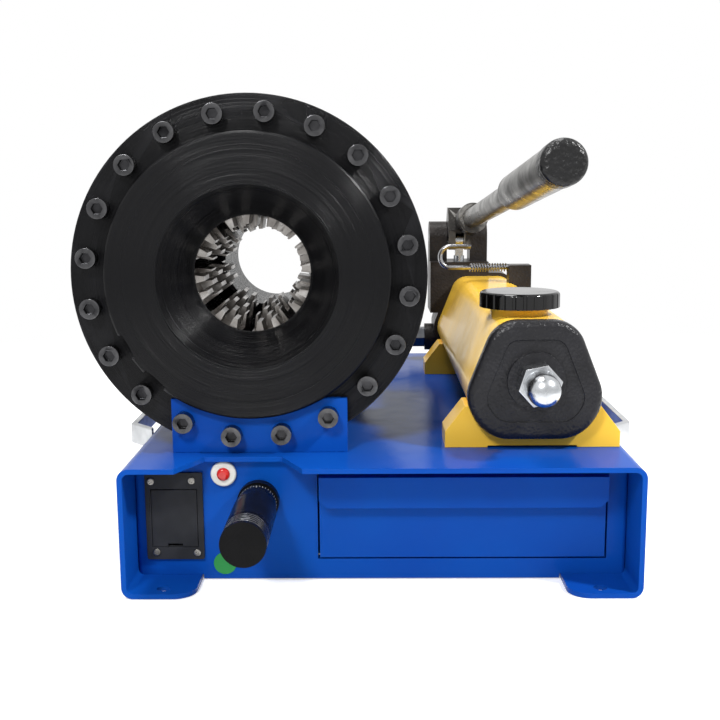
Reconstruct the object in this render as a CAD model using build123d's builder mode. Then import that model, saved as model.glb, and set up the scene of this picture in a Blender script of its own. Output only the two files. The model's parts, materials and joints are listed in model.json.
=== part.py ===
"""Bench hose crimping machine with a lever hand pump.

Millimetres, +X to the right, +Y to the rear, +Z up.  The origin is the centre of
the four foot bolt holes, on the plane that the case stands on.  Depths along Y are
given from the front edge of the case, and depth() turns them into the frame.
"""

import os
from math import cos, hypot, radians, sin, tan

from build123d import *

os.makedirs("parts", exist_ok=True)

# Case, an inverted channel of bent plate with inward foot flanges
CASE_WIDTH = 400.0
CASE_DEPTH = 540.0
CASE_HEIGHT = 103.0
PLATE = 4.0
CASE_BEND = 9.0
FOOT_REACH = 56.0
FOOT_CORNER = 17.0
FOOT_HOLE_RADIUS = 5.25
FOOT_HOLE_SIDE = 30.5
FOOT_HOLE_END = 12.0
NOTCH_OFFSET = 56.6
NOTCH_MOUTH = 97.0
NOTCH_FLOOR = 61.0
NOTCH_DEPTH = 36.0

# Folded panels that close the case
SHEET = 2.0
PANEL_DEPTH = 42.0
PANEL_FLANGE = 15.0
PANEL_BEND = 4.0
PANEL_BOTTOM = 0.5
PANEL_FOOT_GAP = 1.0
REAR_PANEL_INSET = 6.0

# Drawer
DRAWER_OFFSET = 115.6
DRAWER_MARGIN = 17.6
DRAWER_BOTTOM = 18.6
DRAWER_FACE_HEIGHT = 68.8
DRAWER_TRAY_HEIGHT = 58.0
DRAWER_LENGTH = 310.0
DRAWER_SHEET = 1.6
DRAWER_GAP = 1.6
DRAWER_TOP_GAP = 5.8
DRAWER_SIDE_GAP = 0.5
DRAWER_SEAT_GAP = 0.3
OPENING_RETURN = 8.0
LIP_REACH = 10.0
LIP_HEIGHT = 25.0
LIP_CORNER = 6.0
RUNNER_LEDGE = 12.0
RUNNER_SETBACK = 3.0

# Battery holder, lamp and dial on the front panel
HOLDER_INSET = 35.4
HOLDER_Z = 53.4
HOLDER_WIDTH = 46.0
HOLDER_HEIGHT = 71.6
HOLDER_PLATE = 2.5
HOLDER_CORNER = 1.5
LID_WIDTH = 36.2
LID_HEIGHT = 47.4
LID_DROP = 1.5
LID_THICKNESS = 2.0
LID_GAP = 0.35
LID_ROUND_MARGIN = 0.01
LID_NOTCH_WIDTH = 12.0
LID_NOTCH_HEIGHT = 2.6
BATTERY = (26.5, 17.5, 48.5)
BATTERY_CORNER = 2.5
TUB_CLEARANCE = 0.6
TUB_WALL = 1.6
LAMP_OFFSET = 40.0
LAMP_Z = 88.2
BEZEL_RADIUS = 10.2
BEZEL_THICKNESS = 3.4
LENS_RADIUS = 5.2
LENS_RISE = 3.0
LAMP_BODY_RADIUS = 7.0
LAMP_BODY_LENGTH = 24.0
DIAL_OFFSET = 67.3
DIAL_Z = 66.0
DIAL_RADIUS = 16.7
DIAL_REACH = 106.0
COLLAR_LENGTH = 8.0
SLEEVE_RADIUS = 15.2
SLEEVE_LENGTH = 30.0
SLEEVE_NOSE_RADIUS = 10.0
SLEEVE_NOSE_LENGTH = 48.0
DIAL_FIT = 0.05
DIAL_END_GAP = 0.4
DIAL_GROOVES = 6
DIAL_GROOVE_PITCH = 3.6
DIAL_GROOVE_DEPTH = 0.8
DIAL_SPINDLE_RADIUS = 6.0
DIAL_SPINDLE_LENGTH = 40.0

# Crimping head
HEAD_SPACING = 225.0
HEAD_GAP = 0.3
FLANGE_RADIUS = 139.8
BRACKET_DEPTH = 50.0
BRACKET_PLATE = 6.0
BRACKET_LEFT = -63.5
BRACKET_RIGHT = 76.2
BRACKET_HEIGHT = 43.8
BRACKET_ARC_GAP = 1.0
BOSS_RADIUS = 111.2
BOSS_HEIGHT = 14.3
BOSS_CHAMFER = 1.5
COVER_THICKNESS = 28.0
MOUTH_RADIUS = 70.9
THROAT_RADIUS = 47.1
THROAT_LAND = 2.0
THROAT_CHAMFER = 0.8
BARREL_BORE = 114.0
STROKE = 40.0
CONE_ANGLE = 14.0
PISTON_FIT = 0.08
PISTON_GAP = 0.5
PISTON_BASE = 30.0
SEAL_WIDTH = 5.0
SEAL_DEPTH = 4.0
SEAL_INSET = 10.0
GUIDE_RADIUS = 44.0
GUIDE_BORE = 40.0
REAR_COVER = 24.5
SCREW_CIRCLE = 126.2
SCREW_COUNT = 20
SCREW_START = 7.0
BRACKET_SCREWS = range(8, 12)
RELIEF_SCREWS = range(12, 14)
RELIEF_WIDTH = 20.0
RELIEF_DEPTH = 4.0
REAR_SCREW_COUNT = 10
SCREW_RADIUS = 5.0
SCREW_HEAD_RADIUS = 8.0
SCREW_HEAD_HEIGHT = 10.0
SCREW_SOCKET = 4.6
SCREW_SOCKET_DEPTH = 5.0
SCREW_BITE = 20.0
SCREW_CLEARANCE = 0.3

# Crimping dies
DIE_COUNT = 8
DIE_START = 14.6
DIE_LENGTH = 130.0
DIE_FACE_GAP = 0.3
DIE_PAD_RADIUS = 40.0
DIE_ROOT_RADIUS = 49.0
DIE_BACK_RADIUS = 92.0
DIE_SPLIT = 0.7
DIE_BACK_GAP = 0.35
PAD_ROWS = 5
PAD_STEP = 2.125
SLOT_WIDTH = 8.2
SLOT_TAPER = 0.7
SPRING_RADIUS = 4.0
SPRING_WIRE = 1.2
SPRING_SEAT_RADIUS = 44.6
SPRING_FRONT_INSET = 10.0
SPRING_REAR_INSET = 35.0
SPRING_POCKET_GAP = 0.35
SPRING_POCKET = 4.0
SPRING_ENTRY = 3.5

# Side carry handles
HANDLE_START = 133.0
HANDLE_LENGTH = 160.0
HANDLE_REACH = 24.0
HANDLE_SPLAY = 25.0
HANDLE_BAR = 6.0
HANDLE_HEIGHT = 18.0
HANDLE_DROP = 0.5

# Hand pump
PUMP_INSET = 77.5
PUMP_DEPTH = 63.0
FOOT_WIDTH = 141.0
FOOT_LENGTH = 36.0
FOOT_SHOULDER = 13.0
FOOT_HEIGHT = 34.0
FOOT_HORN = 54.5
FOOT_RELIEF_WIDTH = 72.0
FOOT_RELIEF = 1.5
FOOT_SCREW_X = 42.0
FOOT_SCREW_RADIUS = 4.0
FOOT_SCREW_HEAD = 7.5
FOOT_SCREW_HEAD_HEIGHT = 5.5
FOOT_SCREW_BITE = 10.0
TANK_LIFT = 11.0
TANK_HEIGHT = 91.5
TANK_BOTTOM = 35.5
TANK_WAIST = 55.0
TANK_WAIST_LIFT = 28.5
TANK_TOP = 30.0
TANK_SIDE_ROUND = 24.0
TANK_TOP_ROUND = 18.0
TANK_LENGTH = 407.0
TANK_WALL = 3.0
CAP_THICKNESS = 14.0
CAP_OVERHANG = 2.0
CAP_SIDE_ROUND = 30.0
CAP_TOP_ROUND = 24.0
CAP_EDGE = 6.0
CAP_PANEL_INSET = 13.0
CAP_PANEL_DEPTH = 1.2
NUT_HEX = 15.0
NUT_HEX_HEIGHT = 20.0
NUT_DOME_RADIUS = 12.8
NUT_DOME_HEIGHT = 28.0
NUT_BOSS_RADIUS = 23.0
NUT_BOSS_HEIGHT = 3.0
NUT_LIFT = 46.0
NUT_TURN = 12.0
NUT_CROWN = 1.0
TIE_ROD_RADIUS = 8.0
FILLER_X = -5.5
FILLER_DEPTH = 50.0
FILLER_NECK_RADIUS = 24.0
FILLER_NECK_HEIGHT = 6.0
FILLER_BORE = 17.0
FILLER_STEM_GAP = 0.3
FILLER_CAP_RADIUS = 33.3
FILLER_CAP_HEIGHT = 13.0
FILLER_CAP_ROUND = 3.0
FILLER_FLUTES = 24
FILLER_FLUTE_RADIUS = 1.8
REAR_FOOT_DEPTH = 330.0

# Pump head with its lever linkage
HEAD_BLOCK_LENGTH = 58.0
HEAD_BLOCK_MARGIN = 4.0
YOKE_X = -26.5
YOKE_WIDTH = 68.0
YOKE_SHELF = 119.0
YOKE_SLOT = 27.0
EAR_RADIUS = 18.0
PIVOT_LIFT = 147.0
PIVOT_DEPTH = 38.0
PIVOT_RADIUS = 6.0
PIVOT_FIT = 0.05
PLUNGER_DEPTH = 11.8
PLUNGER_RADIUS = 6.0
PLUNGER_SINK = 8.0
PLUNGER_FIT = 0.05
PLUNGER_TAIL = 60.0
PLUNGER_EYE = 9.0
EYE_NECK = 17.0
EYE_SHOULDER = 1.0
LINK_DROP = 4.0
LINK_TILT = 8.6
SLOT_SHIFT = 2.1
EYE_RADIUS = 8.0
LINK_RADIUS = 4.0
LINK_SETBACK = 1.0
LINK_SLOT_RADIUS = 5.2
LINK_SLOT_LENGTH = 16.0
LEVER_WIDTH = 26.0
LEVER_CHEEK_GAP = 0.6
LEVER_OFFSET = 11.0
LEVER_AHEAD = 24.0
LEVER_ABOVE = 19.5
LEVER_RISE = 6.1
LEVER_TURN = 1.5
HUB_RADIUS = 15.0
NOSE_HALF = 9.5
NOSE_REACH = 40.0
FORK_FLOOR = 17.0
FORK_TOP = 6.5
SOCKET_RADIUS = 17.0
SOCKET_LENGTH = 46.0
SOCKET_DEPTH = 34.0
SOCKET_BLEND = 2.0
LEVER_TUBE_RADIUS = 11.0
LEVER_TUBE_WALL = 2.5
LEVER_LENGTH = 548.0
GRIP_RADIUS = 15.6
GRIP_LENGTH = 202.0
GRIP_PLUG_RADIUS = 16.2
GRIP_PLUG_LENGTH = 20.0
PLUG_ROUND = 5.0
KNOB_RADIUS = 13.0
KNOB_LENGTH = 16.0
KNOB_LIFT = 27.0
KNOB_FACE = 64.0
KNOB_DEPTH = 34.0
KNOB_STEM_RADIUS = 5.0
KNOB_STEM_LENGTH = 14.0
KNOB_FLUTES = 12
KNOB_FLUTE_RADIUS = 1.5

# Spring loaded hold-down hook on the tank
HOOK_DEPTH = 332.0
HOOK_LIFT = 16.2
HOOK_ROD_RADIUS = 2.5
HOOK_BEND = 11.6
HOOK_TURN = -42.5
HOOK_RIGHT = 36.5
HOOK_ARM = 22.0
HOOK_FIT = 0.05
HOOK_BLOCK_WIDTH = 24.0
HOOK_BLOCK_LENGTH = 22.0
HOOK_BLOCK_X = 32.5
HOOK_BLOCK_SINK = 7.0
HOOK_BLOCK_TOP = 3.0

# Oil line from the pump head to the rear cover
PIPE_RADIUS = 7.0
PIPE_BORE = 4.0
PIPE_BEND = 30.0
PORT_X = 78.0
PORT_Z = -56.0
PORT_LIFT = 27.0
PORT_DEPTH = 30.0
PORT_REACH = 66.0
PORT_BOSS_RADIUS = 16.0
PIPE_LEAD = 60.0
FITTING_HEX = 13.0
FITTING_LENGTH = 18.0

# Levels and places that follow from the sizes above
HALF_WIDTH = CASE_WIDTH / 2
DECK = CASE_HEIGHT
DECK_UNDERSIDE = CASE_HEIGHT - PLATE
INNER_HALF = HALF_WIDTH - PLATE
FOOT_NOTCH = HALF_WIDTH - FOOT_REACH - PANEL_FOOT_GAP
HOLDER_X = HOLDER_INSET - HALF_WIDTH
LAMP_X = HOLDER_X + LAMP_OFFSET
DIAL_X = HOLDER_X + DIAL_OFFSET
NOTCH_X = HOLDER_X + NOTCH_OFFSET
DRAWER_LEFT = HOLDER_X + DRAWER_OFFSET
DRAWER_RIGHT = INNER_HALF - DRAWER_MARGIN
DRAWER_WIDTH = DRAWER_RIGHT - DRAWER_LEFT
DRAWER_X = (DRAWER_LEFT + DRAWER_RIGHT) / 2
PUMP_X = HALF_WIDTH - PUMP_INSET
HEAD_X = PUMP_X - HEAD_SPACING
HEAD_Z = DECK + HEAD_GAP + FLANGE_RADIUS
FLANGE_FRONT = BRACKET_DEPTH + BRACKET_PLATE
BOSS_FRONT = FLANGE_FRONT - BOSS_HEIGHT
COVER_INNER = FLANGE_FRONT + COVER_THICKNESS
DIE_FRONT = COVER_INNER + DIE_FACE_GAP
DIE_REAR = DIE_FRONT + DIE_LENGTH
PISTON_FRONT = COVER_INNER + PISTON_GAP + STROKE
PISTON_FLOOR = DIE_REAR + PISTON_GAP + STROKE
PISTON_REAR = PISTON_FLOOR + PISTON_BASE
BARREL_REAR = PISTON_REAR + PISTON_GAP
HEAD_REAR = BARREL_REAR + REAR_COVER
CONE_SLOPE = tan(radians(CONE_ANGLE))
DIE_TRAVEL = STROKE * CONE_SLOPE
DIE_PITCH = 360 / DIE_COUNT
TANK_FLOOR = DECK + TANK_LIFT
TANK_CEILING = TANK_FLOOR + TANK_HEIGHT
TANK_FRONT = PUMP_DEPTH
TANK_REAR = TANK_FRONT + TANK_LENGTH
YOKE_CENTRE = PUMP_X + YOKE_X
PIVOT_Y = TANK_REAR + PIVOT_DEPTH
PIVOT_Z = DECK + PIVOT_LIFT
PLUNGER_Y = TANK_REAR + PLUNGER_DEPTH
HOOK_Y = PUMP_DEPTH + HOOK_DEPTH
HOOK_Z = TANK_CEILING + HOOK_LIFT


def depth(y):
    """Frame Y of a depth behind the front edge of the case."""
    return y - CASE_DEPTH / 2


def across(y, x=0.0, z=0.0):
    """Upright plane at a depth, facing the front, with its local axes along +X and +Z."""
    return Plane(origin=(x, depth(y), z), x_dir=(1, 0, 0), z_dir=(0, -1, 0))


def along(x, y=0.0, z=0.0):
    """Upright plane facing +X, with its local axes along +Y and +Z."""
    return Plane(origin=(x, depth(y), z), x_dir=(0, 1, 0), z_dir=(1, 0, 0))


def level(z):
    """Level plane at a height."""
    return Plane.XY.offset(z)


def polar(radius, angle):
    """Point on a circle, with the angle clockwise from the top as seen from the front."""
    return radius * sin(radians(angle)), radius * cos(radians(angle))


HEAD_AXIS = Axis((HEAD_X, 0, HEAD_Z), (0, 1, 0))
HEAD_SECTION = Plane(origin=(HEAD_X, depth(0), HEAD_Z), x_dir=(0, 1, 0), z_dir=(1, 0, 0))
SCREW_ANGLES = [SCREW_START + 360 / SCREW_COUNT * k for k in range(SCREW_COUNT)]
REAR_ANGLES = [SCREW_START + 360 / REAR_SCREW_COUNT * (k + 0.5) for k in range(REAR_SCREW_COUNT)]


# Case shell
with BuildPart() as case_shell:
    with BuildSketch(across(CASE_DEPTH, z=CASE_HEIGHT / 2)):
        RectangleRounded(CASE_WIDTH, CASE_HEIGHT, CASE_BEND)
        RectangleRounded(CASE_WIDTH - 2 * PLATE, CASE_HEIGHT - 2 * PLATE, CASE_BEND - PLATE, mode=Mode.SUBTRACT)
        with Locations((0, -CASE_HEIGHT / 2)):
            Rectangle(CASE_WIDTH - 2 * FOOT_REACH, 3 * PLATE, mode=Mode.SUBTRACT)
    extrude(amount=CASE_DEPTH)
    foot_corners = case_shell.edges().filter_by(Axis.Z).filter_by(
        lambda edge: abs(abs(edge.center().X) - (HALF_WIDTH - FOOT_REACH)) < 0.01
    )
    fillet(foot_corners, FOOT_CORNER)
    with BuildSketch(level(0)):
        with GridLocations(CASE_WIDTH - 2 * FOOT_HOLE_SIDE, CASE_DEPTH - 2 * FOOT_HOLE_END, 2, 2):
            Circle(FOOT_HOLE_RADIUS)
    extrude(amount=PLATE, mode=Mode.SUBTRACT)
    with BuildSketch(level(DECK_UNDERSIDE)):
        with BuildLine():
            Polyline(
                (NOTCH_X - NOTCH_MOUTH / 2, depth(0)),
                (NOTCH_X - NOTCH_FLOOR / 2, depth(NOTCH_DEPTH)),
                (NOTCH_X + NOTCH_FLOOR / 2, depth(NOTCH_DEPTH)),
                (NOTCH_X + NOTCH_MOUTH / 2, depth(0)),
                close=True,
            )
        make_face()
    extrude(amount=PLATE, mode=Mode.SUBTRACT)
    with BuildSketch(level(DECK_UNDERSIDE)):
        for foot_y in (PUMP_DEPTH, PUMP_DEPTH + REAR_FOOT_DEPTH):
            with Locations((PUMP_X, depth(foot_y + FOOT_LENGTH / 2))):
                with GridLocations(2 * FOOT_SCREW_X, 1, 2, 1):
                    Circle(FOOT_SCREW_RADIUS + SCREW_CLEARANCE)
    extrude(amount=PLATE, mode=Mode.SUBTRACT)
case_shell.part.label = "case_shell"
export_step(case_shell.part, "parts/case_shell.step")


def case_mouth():
    """Inside of the case section, open downwards between the foot flanges."""
    with BuildSketch(across(CASE_DEPTH, z=CASE_HEIGHT / 2)) as sketch:
        RectangleRounded(2 * INNER_HALF, CASE_HEIGHT - 2 * PLATE, CASE_BEND - PLATE)
        with Locations((0, -CASE_HEIGHT / 2)):
            Rectangle(2 * FOOT_NOTCH, 4 * PLATE)
    return sketch.sketch


# Front panel, a folded tray set back in the mouth of the case, with a return flange
# round the drawer opening
TUB_WIDTH = BATTERY[0] + 2 * (TUB_CLEARANCE + TUB_WALL)
TUB_HEIGHT = BATTERY[2] + 2 * (TUB_CLEARANCE + TUB_WALL)
TUB_DEPTH = BATTERY[1] + TUB_CLEARANCE + TUB_WALL + LID_THICKNESS
OPENING_WIDTH = DRAWER_WIDTH + 2 * DRAWER_GAP
OPENING_BOTTOM = DRAWER_BOTTOM - DRAWER_GAP
OPENING_TOP = DRAWER_BOTTOM + DRAWER_FACE_HEIGHT + DRAWER_TOP_GAP
OPENING_HEIGHT = OPENING_TOP - OPENING_BOTTOM
PANEL_REAR = PANEL_DEPTH + SHEET
with BuildPart() as front_panel:
    with BuildSketch(level(PANEL_BOTTOM)):
        with Locations((0, depth(PANEL_DEPTH + PANEL_FLANGE / 2))):
            Rectangle(2 * INNER_HALF, PANEL_FLANGE)
    extrude(amount=DECK_UNDERSIDE - PANEL_BOTTOM)
    fillet(front_panel.edges().filter_by(Axis.Z).group_by(Axis.Y)[0], PANEL_BEND)
    open_back = front_panel.faces().sort_by(Axis.Y)[-1]
    ends = front_panel.faces().filter_by(Axis.Z).sort_by(Axis.Z)
    offset(amount=-SHEET, openings=[open_back, ends[-1]])
    extrude(case_mouth(), amount=CASE_DEPTH, mode=Mode.INTERSECT)
    with BuildSketch(across(PANEL_REAR)):
        with Locations((HOLDER_X, HOLDER_Z)):
            Rectangle(TUB_WIDTH, TUB_HEIGHT)
        with Locations((LAMP_X, LAMP_Z)):
            Circle(LAMP_BODY_RADIUS)
        with Locations((DIAL_X, DIAL_Z)):
            Circle(DIAL_SPINDLE_RADIUS)
        with Locations((DRAWER_X, (OPENING_BOTTOM + OPENING_TOP) / 2)):
            Rectangle(OPENING_WIDTH, OPENING_HEIGHT)
    extrude(amount=2 * SHEET, both=True, mode=Mode.SUBTRACT)
    with BuildSketch(across(PANEL_REAR + OPENING_RETURN)):
        with Locations((DRAWER_X, (OPENING_BOTTOM + OPENING_TOP) / 2)):
            Rectangle(OPENING_WIDTH + 2 * SHEET, OPENING_HEIGHT + 2 * SHEET)
            Rectangle(OPENING_WIDTH, OPENING_HEIGHT, mode=Mode.SUBTRACT)
    extrude(amount=OPENING_RETURN)
front_panel.part.label = "front_panel"
export_step(front_panel.part, "parts/front_panel.step")

# Rear panel, a plain folded tray
REAR_PANEL = CASE_DEPTH - REAR_PANEL_INSET
with BuildPart() as rear_panel:
    with BuildSketch(level(PLATE)):
        with Locations((0, depth(REAR_PANEL - PANEL_FLANGE / 2))):
            Rectangle(2 * INNER_HALF, PANEL_FLANGE)
    extrude(amount=DECK_UNDERSIDE - PLATE)
    fillet(rear_panel.edges().filter_by(Axis.Z).group_by(Axis.Y)[-1], PANEL_BEND)
    rear_ends = rear_panel.faces().filter_by(Axis.Z).sort_by(Axis.Z)
    offset(amount=-SHEET, openings=[rear_panel.faces().sort_by(Axis.Y)[0], rear_ends[-1]])
    extrude(case_mouth(), amount=CASE_DEPTH, mode=Mode.INTERSECT)
rear_panel.part.label = "rear_panel"
export_step(rear_panel.part, "parts/rear_panel.step")

# Drawer, a tray behind a face plate with a folded pull lip
DRAWER_TOP = DRAWER_BOTTOM + DRAWER_FACE_HEIGHT
FACE_DEPTH = PANEL_DEPTH - DRAWER_SHEET
TRAY_WIDTH = DRAWER_WIDTH - 2 * DRAWER_SHEET
with BuildPart() as drawer:
    with BuildSketch(across(PANEL_DEPTH)):
        with Locations((DRAWER_X, DRAWER_BOTTOM + DRAWER_FACE_HEIGHT / 2)):
            Rectangle(DRAWER_WIDTH, DRAWER_FACE_HEIGHT)
    extrude(amount=DRAWER_SHEET)
    with BuildSketch(level(DRAWER_BOTTOM)):
        with Locations((DRAWER_X, depth(PANEL_DEPTH + DRAWER_LENGTH / 2))):
            Rectangle(TRAY_WIDTH, DRAWER_LENGTH)
            Rectangle(TRAY_WIDTH - 2 * DRAWER_SHEET, DRAWER_LENGTH - 2 * DRAWER_SHEET, mode=Mode.SUBTRACT)
    extrude(amount=DRAWER_TRAY_HEIGHT)
    with BuildSketch(level(DRAWER_BOTTOM)):
        with Locations((DRAWER_X, depth(PANEL_DEPTH + DRAWER_LENGTH / 2))):
            Rectangle(TRAY_WIDTH, DRAWER_LENGTH)
    extrude(amount=DRAWER_SHEET)
    with BuildSketch(level(DRAWER_TOP - DRAWER_SHEET)):
        with Locations((DRAWER_X, depth(FACE_DEPTH - LIP_REACH / 2))):
            Rectangle(DRAWER_WIDTH, LIP_REACH)
    extrude(amount=DRAWER_SHEET)
    with BuildSketch(across(FACE_DEPTH - LIP_REACH + DRAWER_SHEET)):
        with Locations((DRAWER_X, DRAWER_TOP - LIP_HEIGHT / 2)):
            Rectangle(DRAWER_WIDTH, LIP_HEIGHT)
    extrude(amount=DRAWER_SHEET)
    lip = drawer.edges().filter_by(Axis.Y).filter_by(
        lambda edge: abs(edge.center().Z - (DRAWER_TOP - LIP_HEIGHT)) < 0.01
    )
    chamfer(lip, LIP_CORNER)
drawer.part.label = "drawer"
export_step(drawer.part, "parts/drawer.step")

# Drawer runners, angles that hang from the deck behind the panel
RUNNER_START = PANEL_REAR + OPENING_RETURN + RUNNER_SETBACK
RUNNER_LENGTH = DRAWER_LENGTH
for side, name in ((-1, "drawer_runner_left"), (1, "drawer_runner_right")):
    web_x = DRAWER_X + side * (TRAY_WIDTH / 2 + DRAWER_SIDE_GAP + SHEET / 2)
    ledge_x = DRAWER_X + side * (TRAY_WIDTH / 2 + DRAWER_SIDE_GAP + SHEET - RUNNER_LEDGE / 2)
    hanger_x = web_x + side * (RUNNER_LEDGE - SHEET) / 2
    ledge_z = DRAWER_BOTTOM - DRAWER_SEAT_GAP - SHEET
    with BuildPart() as runner:
        with BuildSketch(across(RUNNER_START + RUNNER_LENGTH)):
            with Locations((web_x, (ledge_z + DECK_UNDERSIDE) / 2)):
                Rectangle(SHEET, DECK_UNDERSIDE - ledge_z)
            with Locations((ledge_x, ledge_z + SHEET / 2)):
                Rectangle(RUNNER_LEDGE, SHEET)
            with Locations((hanger_x, DECK_UNDERSIDE - SHEET / 2)):
                Rectangle(RUNNER_LEDGE, SHEET)
        extrude(amount=RUNNER_LENGTH)
    runner.part.label = name
    export_step(runner.part, f"parts/{name}.step")

# Battery holder, its hinged lid and the cell inside
TUB_BACK = PANEL_DEPTH + TUB_DEPTH
LID_Z = HOLDER_Z - LID_DROP
LID_FRONT = PANEL_DEPTH - HOLDER_PLATE
HINGE_DEPTH = LID_FRONT + LID_THICKNESS / 2
HINGE_Z = LID_Z + LID_HEIGHT / 2 - LID_THICKNESS / 2
with BuildPart() as battery_holder:
    with BuildSketch(across(PANEL_DEPTH, HOLDER_X, HOLDER_Z)):
        RectangleRounded(HOLDER_WIDTH, HOLDER_HEIGHT, HOLDER_CORNER)
    extrude(amount=HOLDER_PLATE)
    with BuildSketch(across(TUB_BACK, HOLDER_X, HOLDER_Z)):
        Rectangle(TUB_WIDTH, TUB_HEIGHT)
    extrude(amount=TUB_DEPTH)
    with BuildSketch(across(LID_FRONT + LID_THICKNESS + LID_GAP, HOLDER_X, LID_Z)):
        Rectangle(LID_WIDTH + 2 * LID_GAP, LID_HEIGHT + 2 * LID_GAP)
    extrude(amount=HOLDER_PLATE, mode=Mode.SUBTRACT)
    with BuildSketch(across(TUB_BACK - TUB_WALL, HOLDER_X, HOLDER_Z)):
        Rectangle(TUB_WIDTH - 2 * TUB_WALL, TUB_HEIGHT - 2 * TUB_WALL)
    extrude(amount=TUB_DEPTH, mode=Mode.SUBTRACT)
battery_holder.part.label = "battery_holder"
export_step(battery_holder.part, "parts/battery_holder.step")

with BuildPart() as battery_lid:
    with BuildSketch(across(LID_FRONT + LID_THICKNESS, HOLDER_X, LID_Z)):
        Rectangle(LID_WIDTH, LID_HEIGHT)
        with Locations((0, -LID_HEIGHT / 2)):
            Rectangle(LID_NOTCH_WIDTH, 2 * LID_NOTCH_HEIGHT, mode=Mode.SUBTRACT)
    extrude(amount=LID_THICKNESS)
    fillet(battery_lid.edges().filter_by(Axis.X).group_by(Axis.Z)[-1], LID_THICKNESS / 2 - LID_ROUND_MARGIN)
battery_lid.part.label = "battery_lid"
export_step(battery_lid.part, "parts/battery_lid.step")

with BuildPart() as battery:
    with BuildSketch(across(TUB_BACK - TUB_WALL, HOLDER_X, HOLDER_Z)):
        RectangleRounded(BATTERY[0], BATTERY[2], BATTERY_CORNER)
    extrude(amount=BATTERY[1])
battery.part.label = "battery"
export_step(battery.part, "parts/battery.step")

# Indicator lamp
with BuildPart() as lamp_bezel:
    with BuildSketch(across(PANEL_DEPTH, LAMP_X, LAMP_Z)):
        Circle(BEZEL_RADIUS)
    extrude(amount=BEZEL_THICKNESS)
    fillet(lamp_bezel.edges().group_by(Axis.Y)[0], BEZEL_THICKNESS / 2)
    with BuildSketch(across(PANEL_DEPTH + LAMP_BODY_LENGTH, LAMP_X, LAMP_Z)):
        Circle(LAMP_BODY_RADIUS)
    extrude(amount=LAMP_BODY_LENGTH)
    with BuildSketch(across(PANEL_DEPTH, LAMP_X, LAMP_Z)):
        Circle(LENS_RADIUS)
    extrude(amount=BEZEL_THICKNESS, mode=Mode.SUBTRACT)
lamp_bezel.part.label = "lamp_bezel"
export_step(lamp_bezel.part, "parts/lamp_bezel.step")

with BuildPart() as lamp_lens:
    with BuildSketch(across(PANEL_DEPTH, LAMP_X, LAMP_Z)):
        Circle(LENS_RADIUS)
    extrude(amount=BEZEL_THICKNESS + LENS_RISE)
    fillet(lamp_lens.edges().group_by(Axis.Y)[0], LENS_RISE)
lamp_lens.part.label = "lamp_lens"
export_step(lamp_lens.part, "parts/lamp_lens.step")

# Crimp size dial, a fixed sleeve with its collar and the thimble that turns on its nose
SLEEVE_FRONT = PANEL_DEPTH - SLEEVE_LENGTH
THIMBLE_REAR = SLEEVE_FRONT - DIAL_END_GAP
THIMBLE_FRONT = PANEL_DEPTH - DIAL_REACH
with BuildPart() as dial_sleeve:
    with BuildSketch(across(PANEL_DEPTH, DIAL_X, DIAL_Z)):
        Circle(DIAL_RADIUS)
    extrude(amount=COLLAR_LENGTH)
    with BuildSketch(across(PANEL_DEPTH, DIAL_X, DIAL_Z)):
        Circle(SLEEVE_RADIUS)
    extrude(amount=SLEEVE_LENGTH)
    with BuildSketch(across(SLEEVE_FRONT, DIAL_X, DIAL_Z)):
        Circle(SLEEVE_NOSE_RADIUS)
    extrude(amount=SLEEVE_NOSE_LENGTH)
    with BuildSketch(across(PANEL_DEPTH + DIAL_SPINDLE_LENGTH, DIAL_X, DIAL_Z)):
        Circle(DIAL_SPINDLE_RADIUS)
    extrude(amount=DIAL_SPINDLE_LENGTH)
dial_sleeve.part.label = "dial_sleeve"
export_step(dial_sleeve.part, "parts/dial_sleeve.step")

with BuildPart() as dial_thimble:
    with BuildSketch(Plane(origin=(DIAL_X, depth(0), DIAL_Z), x_dir=(0, 1, 0), z_dir=(1, 0, 0))):
        with BuildLine():
            nose_bore = SLEEVE_NOSE_RADIUS + DIAL_FIT
            nose_end = SLEEVE_FRONT - SLEEVE_NOSE_LENGTH - DIAL_END_GAP
            Polyline(
                (THIMBLE_FRONT, 0), (THIMBLE_FRONT, DIAL_RADIUS), (THIMBLE_REAR, DIAL_RADIUS),
                (THIMBLE_REAR, nose_bore), (nose_end, nose_bore), (nose_end, 0), close=True,
            )
        make_face()
        for groove in range(DIAL_GROOVES):
            with Locations((THIMBLE_FRONT + (groove + 1.5) * DIAL_GROOVE_PITCH, DIAL_RADIUS)):
                Rectangle(DIAL_GROOVE_PITCH / 3, 2 * DIAL_GROOVE_DEPTH, mode=Mode.SUBTRACT)
    revolve(axis=Axis((DIAL_X, 0, DIAL_Z), (0, 1, 0)))
dial_thimble.part.label = "dial_thimble"
export_step(dial_thimble.part, "parts/dial_thimble.step")


def bracket_blank(y):
    """Section of a head bracket, a plate on the deck with a round cut for the head."""
    with BuildSketch(across(y, HEAD_X, HEAD_Z)) as sketch:
        with Locations(((BRACKET_LEFT + BRACKET_RIGHT) / 2, DECK - HEAD_Z + BRACKET_HEIGHT / 2)):
            Rectangle(BRACKET_RIGHT - BRACKET_LEFT, BRACKET_HEIGHT)
        Circle(BOSS_RADIUS + BRACKET_ARC_GAP, mode=Mode.SUBTRACT)
    return sketch.sketch


# Front head bracket, which the lower flange screws pass through
with BuildPart() as head_bracket_front:
    extrude(bracket_blank(FLANGE_FRONT), amount=BRACKET_PLATE)
    with BuildSketch(across(FLANGE_FRONT, HEAD_X, HEAD_Z)):
        with Locations([polar(SCREW_CIRCLE, SCREW_ANGLES[k]) for k in BRACKET_SCREWS]):
            Circle(SCREW_RADIUS + SCREW_CLEARANCE)
    extrude(amount=BRACKET_PLATE, mode=Mode.SUBTRACT)
head_bracket_front.part.label = "head_bracket_front"
export_step(head_bracket_front.part, "parts/head_bracket_front.step")

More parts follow.
